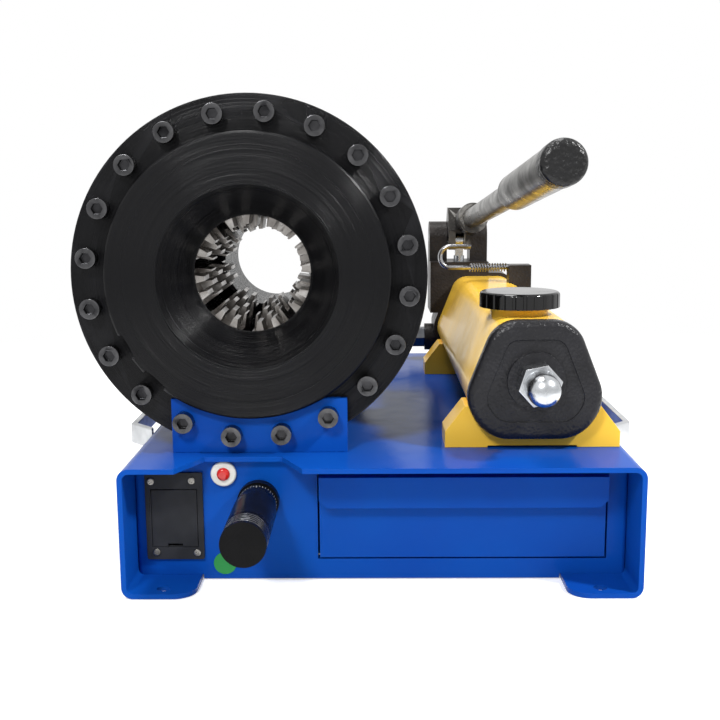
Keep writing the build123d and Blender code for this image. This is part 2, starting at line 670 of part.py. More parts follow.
# Rear head bracket
REAR_BRACKET_ANGLES = [a for a in REAR_ANGLES if 140 < a < 220]
with BuildPart() as head_bracket_rear:
    extrude(bracket_blank(HEAD_REAR + BRACKET_PLATE), amount=BRACKET_PLATE)
    with BuildSketch(across(HEAD_REAR + BRACKET_PLATE, HEAD_X, HEAD_Z)):
        with Locations([polar(SCREW_CIRCLE, a) for a in REAR_BRACKET_ANGLES]):
            Circle(SCREW_RADIUS + SCREW_CLEARANCE)
    extrude(amount=BRACKET_PLATE, mode=Mode.SUBTRACT)
head_bracket_rear.part.label = "head_bracket_rear"
export_step(head_bracket_rear.part, "parts/head_bracket_rear.step")

# Cylinder barrel
with BuildPart() as cylinder_barrel:
    with BuildSketch(across(BARREL_REAR, HEAD_X, HEAD_Z)):
        Circle(FLANGE_RADIUS)
        Circle(BARREL_BORE, mode=Mode.SUBTRACT)
    extrude(amount=BARREL_REAR - COVER_INNER)
    with BuildSketch(across(COVER_INNER + SCREW_BITE, HEAD_X, HEAD_Z)):
        with Locations([polar(SCREW_CIRCLE, a) for a in SCREW_ANGLES]):
            Circle(SCREW_RADIUS)
    extrude(amount=SCREW_BITE, mode=Mode.SUBTRACT)
    with BuildSketch(across(BARREL_REAR, HEAD_X, HEAD_Z)):
        with Locations([polar(SCREW_CIRCLE, a) for a in REAR_ANGLES]):
            Circle(SCREW_RADIUS)
    extrude(amount=SCREW_BITE, mode=Mode.SUBTRACT)
cylinder_barrel.part.label = "cylinder_barrel"
export_step(cylinder_barrel.part, "parts/cylinder_barrel.step")

# Front cover, flange and boss with the cone that leads the hose fitting in
with BuildPart() as front_cover:
    with BuildSketch(HEAD_SECTION):
        with BuildLine():
            Polyline(
                (BOSS_FRONT, MOUTH_RADIUS), (BOSS_FRONT, BOSS_RADIUS), (FLANGE_FRONT, BOSS_RADIUS),
                (FLANGE_FRONT, FLANGE_RADIUS), (COVER_INNER, FLANGE_RADIUS),
                (COVER_INNER, THROAT_RADIUS), (COVER_INNER - THROAT_LAND, THROAT_RADIUS),
                (COVER_INNER - THROAT_LAND - THROAT_CHAMFER, THROAT_RADIUS + 2 * THROAT_CHAMFER),
                close=True,
            )
        make_face()
    revolve(axis=HEAD_AXIS)
    chamfer(front_cover.edges().group_by(Axis.Y)[0].sort_by(SortBy.RADIUS)[-1], BOSS_CHAMFER)
    with BuildSketch(across(COVER_INNER, HEAD_X, HEAD_Z)):
        with Locations([polar(SCREW_CIRCLE, a) for a in SCREW_ANGLES]):
            Circle(SCREW_RADIUS + SCREW_CLEARANCE)
    extrude(amount=COVER_THICKNESS, mode=Mode.SUBTRACT)
    for k in RELIEF_SCREWS:
        with BuildSketch(across(FLANGE_FRONT, HEAD_X, HEAD_Z)):
            with Locations(Location((*polar(BOSS_RADIUS, SCREW_ANGLES[k]), 0), (0, 0, -SCREW_ANGLES[k]))):
                Rectangle(RELIEF_WIDTH, 2 * RELIEF_DEPTH)
        extrude(amount=BOSS_HEIGHT, mode=Mode.SUBTRACT)
front_cover.part.label = "front_cover"
export_step(front_cover.part, "parts/front_cover.step")

# Rear cover with the guide tube that the piston slides on
GUIDE_FRONT = DIE_REAR + 2 * PISTON_GAP
with BuildPart() as rear_cover:
    with BuildSketch(HEAD_SECTION):
        with BuildLine():
            Polyline(
                (GUIDE_FRONT, GUIDE_BORE), (GUIDE_FRONT, GUIDE_RADIUS), (BARREL_REAR, GUIDE_RADIUS),
                (BARREL_REAR, FLANGE_RADIUS), (HEAD_REAR, FLANGE_RADIUS), (HEAD_REAR, GUIDE_BORE),
                close=True,
            )
        make_face()
    revolve(axis=HEAD_AXIS)
    with BuildSketch(across(HEAD_REAR, HEAD_X, HEAD_Z)):
        with Locations([polar(SCREW_CIRCLE, a) for a in REAR_ANGLES]):
            Circle(SCREW_RADIUS + SCREW_CLEARANCE)
    extrude(amount=REAR_COVER, mode=Mode.SUBTRACT)
    with BuildSketch(across(HEAD_REAR, HEAD_X, HEAD_Z)):
        with Locations((PORT_X, PORT_Z)):
            Circle(PIPE_BORE)
    extrude(amount=REAR_COVER, mode=Mode.SUBTRACT)
rear_cover.part.label = "rear_cover"
export_step(rear_cover.part, "parts/rear_cover.step")


def screw_group(places, seat, shank):
    """Socket head screws that face the front, with their heads on a seat plane."""
    with BuildPart() as group:
        with BuildSketch(across(seat, HEAD_X, HEAD_Z)):
            with Locations(places):
                Circle(SCREW_HEAD_RADIUS)
        extrude(amount=SCREW_HEAD_HEIGHT)
        with BuildSketch(across(seat + shank, HEAD_X, HEAD_Z)):
            with Locations(places):
                Circle(SCREW_RADIUS)
        extrude(amount=shank)
        with BuildSketch(across(seat - SCREW_HEAD_HEIGHT + SCREW_SOCKET_DEPTH, HEAD_X, HEAD_Z)):
            with Locations(places):
                RegularPolygon(SCREW_SOCKET, 6)
        extrude(amount=SCREW_SOCKET_DEPTH, mode=Mode.SUBTRACT)
    return group.part


# Cover, bracket and rear screws
flange_places = [polar(SCREW_CIRCLE, a) for k, a in enumerate(SCREW_ANGLES) if k not in BRACKET_SCREWS]
bracket_places = [polar(SCREW_CIRCLE, SCREW_ANGLES[k]) for k in BRACKET_SCREWS]
cover_screws = screw_group(flange_places, FLANGE_FRONT, COVER_THICKNESS + SCREW_BITE)
cover_screws.label = "cover_screws"
export_step(cover_screws, "parts/cover_screws.step")
bracket_screws = screw_group(bracket_places, BRACKET_DEPTH, BRACKET_PLATE + COVER_THICKNESS + SCREW_BITE)
bracket_screws.label = "bracket_screws"
export_step(bracket_screws, "parts/bracket_screws.step")
rear_free = [a for a in REAR_ANGLES if a not in REAR_BRACKET_ANGLES]
with BuildPart() as rear_screws:
    for angles, seat in ((rear_free, HEAD_REAR), (REAR_BRACKET_ANGLES, HEAD_REAR + BRACKET_PLATE)):
        places = [polar(SCREW_CIRCLE, a) for a in angles]
        with BuildSketch(across(seat + SCREW_HEAD_HEIGHT, HEAD_X, HEAD_Z)):
            with Locations(places):
                Circle(SCREW_HEAD_RADIUS)
        extrude(amount=SCREW_HEAD_HEIGHT)
        with BuildSketch(across(seat, HEAD_X, HEAD_Z)):
            with Locations(places):
                Circle(SCREW_RADIUS)
        extrude(amount=seat - BARREL_REAR + SCREW_BITE)
        with BuildSketch(across(seat + SCREW_HEAD_HEIGHT, HEAD_X, HEAD_Z)):
            with Locations(places):
                RegularPolygon(SCREW_SOCKET, 6)
        extrude(amount=SCREW_SOCKET_DEPTH, mode=Mode.SUBTRACT)
rear_screws.part.label = "rear_screws"
export_step(rear_screws.part, "parts/rear_screws.step")

# Ring piston, whose cone closes the dies as it slides to the front
PISTON_RADIUS = BARREL_BORE - PISTON_FIT
PISTON_BORE = GUIDE_RADIUS + PISTON_FIT
CONE_MOUTH = DIE_BACK_RADIUS + DIE_BACK_GAP - (PISTON_FRONT - DIE_FRONT) * CONE_SLOPE
CONE_END = CONE_MOUTH - (PISTON_FLOOR - PISTON_FRONT) * CONE_SLOPE
SEAL_START = PISTON_FLOOR + SEAL_INSET
with BuildPart() as ring_piston:
    with BuildSketch(HEAD_SECTION):
        with BuildLine():
            Polyline(
                (PISTON_FRONT, CONE_MOUTH), (PISTON_FRONT, PISTON_RADIUS), (PISTON_REAR, PISTON_RADIUS),
                (PISTON_REAR, PISTON_BORE), (PISTON_FLOOR, PISTON_BORE), (PISTON_FLOOR, CONE_END),
                close=True,
            )
        make_face()
        with Locations((SEAL_START + SEAL_WIDTH / 2, PISTON_RADIUS)):
            Rectangle(SEAL_WIDTH, 2 * SEAL_DEPTH, mode=Mode.SUBTRACT)
        with Locations((SEAL_START + SEAL_WIDTH / 2, PISTON_BORE)):
            Rectangle(SEAL_WIDTH, 2 * SEAL_DEPTH, mode=Mode.SUBTRACT)
    revolve(axis=HEAD_AXIS)
ring_piston.part.label = "ring_piston"
export_step(ring_piston.part, "parts/ring_piston.step")

with BuildPart() as piston_seals:
    with BuildSketch(HEAD_SECTION):
        with Locations((SEAL_START + SEAL_WIDTH / 2, PISTON_RADIUS - SEAL_DEPTH / 2)):
            Rectangle(SEAL_WIDTH, SEAL_DEPTH)
        with Locations((SEAL_START + SEAL_WIDTH / 2, PISTON_BORE + SEAL_DEPTH / 2)):
            Rectangle(SEAL_WIDTH, SEAL_DEPTH)
    revolve(axis=HEAD_AXIS)
piston_seals.part.label = "piston_seals"
export_step(piston_seals.part, "parts/piston_seals.step")

# One crimping die, made closed about the Y axis with its middle along +X, with rows of
# pads that step inwards towards the rear
CLOSED_PAD = DIE_PAD_RADIUS - DIE_TRAVEL
CLOSED_ROOT = DIE_ROOT_RADIUS - DIE_TRAVEL
CLOSED_BACK = DIE_BACK_RADIUS - DIE_TRAVEL
CLOSED_REAR = CLOSED_BACK - DIE_LENGTH * CONE_SLOPE
DIE_ANGLE = DIE_PITCH - DIE_SPLIT
PAD_LENGTH = DIE_LENGTH / PAD_ROWS
HALF_PITCH = DIE_PITCH / 2
SPRING_OPENING = 2 * DIE_TRAVEL * sin(radians(HALF_PITCH))
SPRING_STATIONS = (DIE_FRONT + SPRING_FRONT_INSET, DIE_REAR - SPRING_REAR_INSET)
closed_gap = 2 * SPRING_SEAT_RADIUS * sin(radians(DIE_SPLIT / 2))
entry_pocket = SPRING_ENTRY + SPRING_OPENING + PISTON_GAP
with BuildPart() as die_blank:
    start = radians(DIE_ANGLE / 2)
    with BuildSketch(Plane(origin=(0, depth(0), 0), x_dir=(0, 1, 0), z_dir=(sin(start), 0, -cos(start)))):
        with BuildLine():
            stairs = [
                (DIE_FRONT + (row + end) * PAD_LENGTH, CLOSED_PAD - row * PAD_STEP)
                for row in reversed(range(PAD_ROWS))
                for end in (1, 0)
            ]
            Polyline((DIE_FRONT, CLOSED_BACK), (DIE_REAR, CLOSED_REAR), *stairs, close=True)
        make_face()
    revolve(axis=Axis.Y, revolution_arc=DIE_ANGLE)
    slot_reach = 2 * (CLOSED_ROOT - CLOSED_PAD)
    for row in range(PAD_ROWS):
        slots = (-HALF_PITCH, 0, HALF_PITCH) if row % 2 == 0 else (-HALF_PITCH / 2, HALF_PITCH / 2)
        with BuildSketch(across(DIE_FRONT + (row + 1) * PAD_LENGTH)):
            for angle in slots:
                middle = CLOSED_ROOT - row * PAD_STEP - slot_reach / 2
                spot = (middle * cos(radians(angle)), middle * sin(radians(angle)), 0)
                with Locations(Location(spot, (0, 0, angle))):
                    Rectangle(slot_reach, SLOT_WIDTH - row * SLOT_TAPER)
        extrude(amount=PAD_LENGTH, mode=Mode.SUBTRACT)
    for side, pocket in ((1, SPRING_POCKET), (-1, entry_pocket)):
        tilt = radians(side * HALF_PITCH)
        for station in SPRING_STATIONS:
            seat = (SPRING_SEAT_RADIUS * cos(tilt), depth(station), SPRING_SEAT_RADIUS * sin(tilt))
            facing = (-side * sin(tilt), 0, side * cos(tilt))
            with BuildSketch(Plane(origin=seat, x_dir=(0, 1, 0), z_dir=facing)):
                Circle(SPRING_RADIUS + SPRING_POCKET_GAP)
            extrude(amount=-pocket - closed_gap / 2, mode=Mode.SUBTRACT)

with BuildPart() as spring_blank:
    tilt = radians(HALF_PITCH)
    for station in SPRING_STATIONS:
        seat = (SPRING_SEAT_RADIUS * cos(tilt), depth(station), SPRING_SEAT_RADIUS * sin(tilt))
        seat_plane = Plane(origin=seat, x_dir=(0, 1, 0), z_dir=(-sin(tilt), 0, cos(tilt)))
        with BuildSketch(seat_plane.offset(-SPRING_POCKET - closed_gap / 2)):
            Circle(SPRING_RADIUS)
            Circle(SPRING_RADIUS - SPRING_WIRE, mode=Mode.SUBTRACT)
        extrude(amount=SPRING_POCKET + closed_gap + SPRING_OPENING + SPRING_ENTRY)

# Eight dies and their springs, opened outwards by the piston's travel on the cone
for index in range(DIE_COUNT):
    angle = DIE_START + index * DIE_PITCH
    outward = (cos(radians(angle)), 0, sin(radians(angle)))
    place = Location(
        (HEAD_X + DIE_TRAVEL * outward[0], 0, HEAD_Z + DIE_TRAVEL * outward[2]), (0, -angle, 0)
    )
    with BuildPart() as die:
        add(die_blank.part.moved(place))
    die.part.label = f"die_{index + 1}"
    export_step(die.part, f"parts/die_{index + 1}.step")
    with BuildPart() as die_spring:
        add(spring_blank.part.moved(place))
    die_spring.part.label = f"die_spring_{index + 1}"
    export_step(die_spring.part, f"parts/die_spring_{index + 1}.step")

# Side carry handles, flat bars with splayed legs on the side walls
HANDLE_Z = DECK - HANDLE_DROP - HANDLE_HEIGHT
leg_length = hypot(HANDLE_REACH, HANDLE_SPLAY)
leg_width = HANDLE_BAR * leg_length / HANDLE_REACH
handle_end = HANDLE_START + HANDLE_LENGTH
inner_splay = (HANDLE_REACH - HANDLE_BAR) * HANDLE_SPLAY / HANDLE_REACH
for side, name in ((-1, "side_handle_left"), (1, "side_handle_right")):
    wall = side * HALF_WIDTH
    outer = side * (HALF_WIDTH + HANDLE_REACH)
    inner = side * (HALF_WIDTH + HANDLE_REACH - HANDLE_BAR)
    with BuildPart() as side_handle:
        with BuildSketch(level(HANDLE_Z)):
            with BuildLine():
                Polyline(
                    (wall, depth(HANDLE_START)), (outer, depth(HANDLE_START + HANDLE_SPLAY)),
                    (outer, depth(handle_end - HANDLE_SPLAY)), (wall, depth(handle_end)),
                    (wall, depth(handle_end - leg_width)),
                    (inner, depth(handle_end - leg_width - inner_splay)),
                    (inner, depth(HANDLE_START + leg_width + inner_splay)),
                    (wall, depth(HANDLE_START + leg_width)), close=True,
                )
            make_face()
        extrude(amount=HANDLE_HEIGHT)
    side_handle.part.label = name
    export_step(side_handle.part, f"parts/{name}.step")


def tank_section(plane, margin, side_round=TANK_SIDE_ROUND, top_round=TANK_TOP_ROUND):
    """Rounded six-sided section of the pump tank, grown or shrunk by a margin."""
    with BuildSketch(plane) as sketch:
        with BuildLine():
            Polyline(
                (-TANK_BOTTOM, 0), (-TANK_WAIST, TANK_WAIST_LIFT), (-TANK_TOP, TANK_HEIGHT),
                (TANK_TOP, TANK_HEIGHT), (TANK_WAIST, TANK_WAIST_LIFT), (TANK_BOTTOM, 0), close=True,
            )
        make_face()
        fillet(sketch.vertices().group_by(Axis.Y)[-1], top_round)
        corners = sketch.vertices().group_by(Axis.Y)
        fillet(corners[0] + corners[1], side_round)
        if margin:
            offset(amount=margin)
    return sketch.sketch


def tank_plane(y):
    """Upright plane across the tank, with its origin at the bottom of the section."""
    return across(y, PUMP_X, TANK_FLOOR)


# Pump tank with its filler neck
FILLER_Y = depth(PUMP_DEPTH + FILLER_DEPTH)
FILLER_CENTRE = PUMP_X + FILLER_X
NECK_TOP = TANK_CEILING + FILLER_NECK_HEIGHT
with BuildPart() as pump_tank:
    extrude(tank_section(tank_plane(TANK_REAR), 0), amount=TANK_LENGTH)
    with BuildSketch(level(TANK_CEILING - TANK_WALL)):
        with Locations((FILLER_CENTRE, FILLER_Y)):
            Circle(FILLER_NECK_RADIUS)
    extrude(amount=TANK_WALL + FILLER_NECK_HEIGHT)
    extrude(tank_section(tank_plane(TANK_REAR), -TANK_WALL), amount=TANK_LENGTH, mode=Mode.SUBTRACT)
    with BuildSketch(level(NECK_TOP)):
        with Locations((FILLER_CENTRE, FILLER_Y)):
            Circle(FILLER_BORE)
    extrude(amount=-FILLER_NECK_HEIGHT - 2 * TANK_WALL, mode=Mode.SUBTRACT)
pump_tank.part.label = "pump_tank"
export_step(pump_tank.part, "parts/pump_tank.step")

# Filler cap, fluted, with a plug that turns in the neck
with BuildPart() as filler_cap:
    with BuildSketch(level(NECK_TOP + FILLER_STEM_GAP)):
        with Locations((FILLER_CENTRE, FILLER_Y)):
            Circle(FILLER_CAP_RADIUS)
    extrude(amount=FILLER_CAP_HEIGHT)
    fillet(filler_cap.edges().group_by(Axis.Z)[-1], FILLER_CAP_ROUND)
    with BuildSketch(level(NECK_TOP + FILLER_STEM_GAP)):
        with Locations((FILLER_CENTRE, FILLER_Y)):
            with PolarLocations(FILLER_CAP_RADIUS + FILLER_FLUTE_RADIUS / 2, FILLER_FLUTES):
                Circle(FILLER_FLUTE_RADIUS)
    extrude(amount=FILLER_CAP_HEIGHT, mode=Mode.SUBTRACT)
    with BuildSketch(level(NECK_TOP + FILLER_STEM_GAP)):
        with Locations((FILLER_CENTRE, FILLER_Y)):
            Circle(FILLER_BORE - FILLER_STEM_GAP)
    extrude(amount=-FILLER_NECK_HEIGHT - TANK_WALL)
filler_cap.part.label = "filler_cap"
export_step(filler_cap.part, "parts/filler_cap.step")

# End cap, and the tie rod through the tank with its acorn nut
CAP_FRONT = TANK_FRONT - CAP_THICKNESS
NUT_SEAT = CAP_FRONT - NUT_BOSS_HEIGHT
with BuildPart() as pump_end_cap:
    extrude(tank_section(tank_plane(TANK_FRONT), CAP_OVERHANG, CAP_SIDE_ROUND, CAP_TOP_ROUND), amount=CAP_THICKNESS)
    fillet(pump_end_cap.edges().group_by(Axis.Y)[0], CAP_EDGE)
    cap_panel = tank_section(tank_plane(CAP_FRONT), -CAP_PANEL_INSET, CAP_SIDE_ROUND, CAP_TOP_ROUND)
    extrude(cap_panel, amount=-CAP_PANEL_DEPTH, mode=Mode.SUBTRACT)
    with BuildSketch(across(TANK_FRONT, PUMP_X, TANK_FLOOR + NUT_LIFT)):
        Circle(NUT_BOSS_RADIUS)
    extrude(amount=TANK_FRONT - NUT_SEAT)
    with BuildSketch(across(TANK_FRONT, PUMP_X, TANK_FLOOR + NUT_LIFT)):
        Circle(TIE_ROD_RADIUS + SCREW_CLEARANCE)
    extrude(amount=TANK_FRONT - NUT_SEAT, mode=Mode.SUBTRACT)
pump_end_cap.part.label = "pump_end_cap"
export_step(pump_end_cap.part, "parts/pump_end_cap.step")

NUT_FRONT = NUT_SEAT - NUT_HEX_HEIGHT
with BuildPart() as tie_rod:
    with BuildSketch(across(NUT_SEAT, PUMP_X, TANK_FLOOR + NUT_LIFT)):
        RegularPolygon(NUT_HEX, 6, major_radius=False, rotation=NUT_TURN)
    extrude(amount=NUT_HEX_HEIGHT)
    with BuildSketch(across(NUT_FRONT, PUMP_X, TANK_FLOOR + NUT_LIFT)):
        Circle(NUT_DOME_RADIUS)
    extrude(amount=NUT_DOME_HEIGHT)
    fillet(tie_rod.edges().group_by(Axis.Y)[0], NUT_DOME_RADIUS - NUT_CROWN)
    with BuildSketch(across(TANK_REAR, PUMP_X, TANK_FLOOR + NUT_LIFT)):
        Circle(TIE_ROD_RADIUS)
    extrude(amount=TANK_REAR - NUT_SEAT)
tie_rod.part.label = "tie_rod"
export_step(tie_rod.part, "parts/tie_rod.step")

# Pump feet, cradles under both ends of the tank
for name, foot_y in (("pump_foot_front", PUMP_DEPTH), ("pump_foot_rear", PUMP_DEPTH + REAR_FOOT_DEPTH)):
    with BuildPart() as pump_foot:
        with BuildSketch(across(foot_y + FOOT_LENGTH, PUMP_X, DECK)):
            with BuildLine():
                Polyline(
                    (-FOOT_WIDTH / 2, 0), (-FOOT_WIDTH / 2, FOOT_SHOULDER), (-FOOT_HORN, FOOT_HEIGHT),
                    (FOOT_HORN, FOOT_HEIGHT), (FOOT_WIDTH / 2, FOOT_SHOULDER), (FOOT_WIDTH / 2, 0), close=True,
                )
            make_face()
            Rectangle(FOOT_RELIEF_WIDTH, 2 * FOOT_RELIEF, mode=Mode.SUBTRACT)
        extrude(amount=FOOT_LENGTH)
        extrude(tank_section(tank_plane(foot_y + FOOT_LENGTH), 0), amount=FOOT_LENGTH, mode=Mode.SUBTRACT)
        with BuildSketch(level(DECK)):
            with Locations((PUMP_X, depth(foot_y + FOOT_LENGTH / 2))):
                with GridLocations(2 * FOOT_SCREW_X, 1, 2, 1):
                    Circle(FOOT_SCREW_RADIUS)
        extrude(amount=FOOT_SCREW_BITE, mode=Mode.SUBTRACT)
    pump_foot.part.label = name
    export_step(pump_foot.part, f"parts/{name}.step")

with BuildPart() as foot_screws:
    for foot_y in (PUMP_DEPTH, PUMP_DEPTH + REAR_FOOT_DEPTH):
        spots = [(PUMP_X + side * FOOT_SCREW_X, depth(foot_y + FOOT_LENGTH / 2)) for side in (-1, 1)]
        with BuildSketch(level(DECK_UNDERSIDE - FOOT_SCREW_HEAD_HEIGHT)):
            with Locations(spots):
                RegularPolygon(FOOT_SCREW_HEAD, 6)
        extrude(amount=FOOT_SCREW_HEAD_HEIGHT)
        with BuildSketch(level(DECK_UNDERSIDE)):
            with Locations(spots):
                Circle(FOOT_SCREW_RADIUS)
        extrude(amount=PLATE + FOOT_SCREW_BITE)
foot_screws.part.label = "foot_screws"
export_step(foot_screws.part, "parts/foot_screws.step")

# Pump head casting, with the lever yoke and the plunger bore
BLOCK_REAR = TANK_REAR + HEAD_BLOCK_LENGTH
YOKE_FOOT = DECK + YOKE_SHELF / 2
PLUNGER_FLOOR = DECK + YOKE_SHELF - PLUNGER_TAIL - PLUNGER_SINK
OIL_Z = DECK + PORT_LIFT
OIL_Y = depth(TANK_REAR + PORT_DEPTH)
PORT_FACE = PUMP_X - PORT_REACH
with BuildPart() as pump_head:
    extrude(tank_section(tank_plane(BLOCK_REAR), HEAD_BLOCK_MARGIN), amount=HEAD_BLOCK_LENGTH)
    with BuildSketch(across(BLOCK_REAR, PUMP_X, DECK)):
        with Locations((0, TANK_LIFT)):
            Rectangle(2 * TANK_BOTTOM + 2 * HEAD_BLOCK_MARGIN, 2 * TANK_LIFT)
    extrude(amount=HEAD_BLOCK_LENGTH)
    with BuildSketch(across(BLOCK_REAR, YOKE_CENTRE, 0)):
        with Locations((0, (YOKE_FOOT + DECK + YOKE_SHELF) / 2)):
            Rectangle(YOKE_WIDTH, DECK + YOKE_SHELF - YOKE_FOOT)
    extrude(amount=HEAD_BLOCK_LENGTH)
    with BuildSketch(along(YOKE_CENTRE - YOKE_WIDTH / 2, PIVOT_Y, PIVOT_Z)):
        Circle(EAR_RADIUS)
        with Locations((0, (DECK + YOKE_SHELF - PIVOT_Z) / 2)):
            Rectangle(2 * EAR_RADIUS, PIVOT_Z - DECK - YOKE_SHELF)
    extrude(amount=YOKE_WIDTH)
    with BuildSketch(along(PORT_FACE, TANK_REAR + PORT_DEPTH, OIL_Z)):
        Circle(PORT_BOSS_RADIUS)
    extrude(amount=PORT_REACH)
    with BuildSketch(across(BLOCK_REAR, YOKE_CENTRE, DECK + YOKE_SHELF)):
        with Locations((0, EAR_RADIUS * 2)):
            Rectangle(YOKE_SLOT, EAR_RADIUS * 4)
    extrude(amount=HEAD_BLOCK_LENGTH, mode=Mode.SUBTRACT)
    with BuildSketch(along(YOKE_CENTRE - YOKE_WIDTH / 2, PIVOT_Y, PIVOT_Z)):
        Circle(PIVOT_RADIUS)
    extrude(amount=YOKE_WIDTH, mode=Mode.SUBTRACT)
    with BuildSketch(level(PLUNGER_FLOOR)):
        with Locations((YOKE_CENTRE, depth(PLUNGER_Y))):
            Circle(PLUNGER_RADIUS + PLUNGER_FIT)
    extrude(amount=PLUNGER_TAIL + PLUNGER_SINK, mode=Mode.SUBTRACT)
    with BuildSketch(along(PUMP_X + KNOB_FACE, TANK_REAR + KNOB_DEPTH, DECK + KNOB_LIFT)):
        Circle(KNOB_RADIUS)
    extrude(amount=-KNOB_FACE)
    with BuildSketch(along(PUMP_X + KNOB_FACE, TANK_REAR + KNOB_DEPTH, DECK + KNOB_LIFT)):
        Circle(KNOB_STEM_RADIUS + PIVOT_FIT)
    extrude(amount=-KNOB_STEM_LENGTH - PISTON_GAP, mode=Mode.SUBTRACT)
pump_head.part.label = "pump_head"
export_step(pump_head.part, "parts/pump_head.step")

# Lever pivot pin
with BuildPart() as pivot_pin:
    with BuildSketch(along(YOKE_CENTRE - YOKE_WIDTH / 2, PIVOT_Y, PIVOT_Z)):
        Circle(PIVOT_RADIUS)
    extrude(amount=YOKE_WIDTH)
pivot_pin.part.label = "pivot_pin"
export_step(pivot_pin.part, "parts/pivot_pin.step")

# Plunger, with the eye and the link pin that the lever lifts it by
LINK_Z = PIVOT_Z - LINK_DROP
with BuildPart() as plunger:
    with BuildSketch(level(DECK + YOKE_SHELF - PLUNGER_TAIL)):
        with Locations((YOKE_CENTRE, depth(PLUNGER_Y))):
            Circle(PLUNGER_RADIUS)
    extrude(amount=LINK_Z - EYE_NECK - DECK - YOKE_SHELF + PLUNGER_TAIL)
    with BuildSketch(along(YOKE_CENTRE - PLUNGER_EYE / 2, PLUNGER_Y, LINK_Z)):
        Circle(EYE_RADIUS)
        with Locations((0, -EYE_NECK / 2)):
            Rectangle(2 * (PLUNGER_RADIUS - EYE_SHOULDER), EYE_NECK)
    extrude(amount=PLUNGER_EYE)
    with BuildSketch(along(YOKE_CENTRE - LEVER_WIDTH / 2 + LINK_SETBACK, PLUNGER_Y, LINK_Z)):
        Circle(LINK_RADIUS)
    extrude(amount=LEVER_WIDTH - 2 * LINK_SETBACK)
plunger.part.label = "plunger"
export_step(plunger.part, "parts/plunger.step")

# Lever socket, which turns on the pivot pin and carries the lever tube
LEVER_START = (YOKE_CENTRE + LEVER_OFFSET, depth(PIVOT_Y - LEVER_AHEAD), PIVOT_Z + LEVER_ABOVE)
rise = radians(LEVER_RISE)
turn = radians(LEVER_TURN)
LEVER_LINE = (sin(turn) * cos(rise), -cos(turn) * cos(rise), sin(rise))
LEVER_PLANE = Plane(origin=LEVER_START, x_dir=(cos(turn), sin(turn), 0), z_dir=LEVER_LINE)
link_ahead = PIVOT_Y - PLUNGER_Y
with BuildPart() as lever_socket:
    with BuildSketch(along(YOKE_CENTRE - LEVER_WIDTH / 2, PIVOT_Y, PIVOT_Z)):
        Circle(HUB_RADIUS)
        with BuildLine():
            Polyline(
                (0, -NOSE_HALF - LINK_DROP / 2), (-NOSE_REACH, -NOSE_HALF - LINK_DROP),
                (-NOSE_REACH, NOSE_HALF), (-LEVER_AHEAD, LEVER_ABOVE + SOCKET_RADIUS - SOCKET_BLEND),
                (-LEVER_AHEAD + HUB_RADIUS, LEVER_ABOVE + SOCKET_RADIUS - SOCKET_BLEND),
                (HUB_RADIUS - SOCKET_BLEND, HUB_RADIUS / 2), close=True,
            )
        make_face()
    extrude(amount=LEVER_WIDTH)
    with BuildSketch(LEVER_PLANE):
        Circle(SOCKET_RADIUS)
    extrude(amount=SOCKET_LENGTH)
    with BuildSketch(LEVER_PLANE.offset(SOCKET_LENGTH - SOCKET_DEPTH)):
        Circle(LEVER_TUBE_RADIUS)
    extrude(amount=SOCKET_DEPTH, mode=Mode.SUBTRACT)
    with BuildSketch(along(YOKE_CENTRE - LEVER_WIDTH, PIVOT_Y, PIVOT_Z)):
        Circle(PIVOT_RADIUS + PIVOT_FIT)
        with Locations(Location((-link_ahead - SLOT_SHIFT, -LINK_DROP, 0), (0, 0, LINK_TILT))):
            SlotOverall(LINK_SLOT_LENGTH, 2 * LINK_SLOT_RADIUS)
    extrude(amount=2 * LEVER_WIDTH, mode=Mode.SUBTRACT)
    fork_height = 2 * (NOSE_HALF + LINK_DROP)
    with BuildSketch(along(YOKE_CENTRE - PLUNGER_EYE / 2 - LEVER_CHEEK_GAP, PIVOT_Y, PIVOT_Z)):
        with Locations((-FORK_FLOOR - NOSE_REACH / 2, FORK_TOP - fork_height / 2)):
            Rectangle(NOSE_REACH, fork_height)
    extrude(amount=PLUNGER_EYE + 2 * LEVER_CHEEK_GAP, mode=Mode.SUBTRACT)
lever_socket.part.label = "lever_socket"
export_step(lever_socket.part, "parts/lever_socket.step")

# Lever tube, grip sleeve and end plug
TUBE_START = SOCKET_LENGTH - SOCKET_DEPTH
GRIP_START = LEVER_LENGTH - GRIP_LENGTH
with BuildPart() as lever_tube:
    with BuildSketch(LEVER_PLANE.offset(TUBE_START)):
        Circle(LEVER_TUBE_RADIUS)
        Circle(LEVER_TUBE_RADIUS - LEVER_TUBE_WALL, mode=Mode.SUBTRACT)
    extrude(amount=LEVER_LENGTH - GRIP_PLUG_LENGTH - TUBE_START)
lever_tube.part.label = "lever_tube"
export_step(lever_tube.part, "parts/lever_tube.step")

with BuildPart() as lever_grip:
    with BuildSketch(LEVER_PLANE.offset(GRIP_START)):
        Circle(GRIP_RADIUS)
        Circle(LEVER_TUBE_RADIUS, mode=Mode.SUBTRACT)
    extrude(amount=GRIP_LENGTH - GRIP_PLUG_LENGTH)
lever_grip.part.label = "lever_grip"
export_step(lever_grip.part, "parts/lever_grip.step")

with BuildPart() as lever_plug:
    with BuildSketch(LEVER_PLANE.offset(LEVER_LENGTH - GRIP_PLUG_LENGTH)):
        Circle(GRIP_PLUG_RADIUS)
    extrude(amount=GRIP_PLUG_LENGTH)
    fillet(lever_plug.edges().sort_by(Axis.Y)[0], PLUG_ROUND)
    with BuildSketch(LEVER_PLANE.offset(LEVER_LENGTH - 2 * GRIP_PLUG_LENGTH)):
        Circle(LEVER_TUBE_RADIUS - LEVER_TUBE_WALL)
    extrude(amount=GRIP_PLUG_LENGTH)
lever_plug.part.label = "lever_plug"
export_step(lever_plug.part, "parts/lever_plug.step")

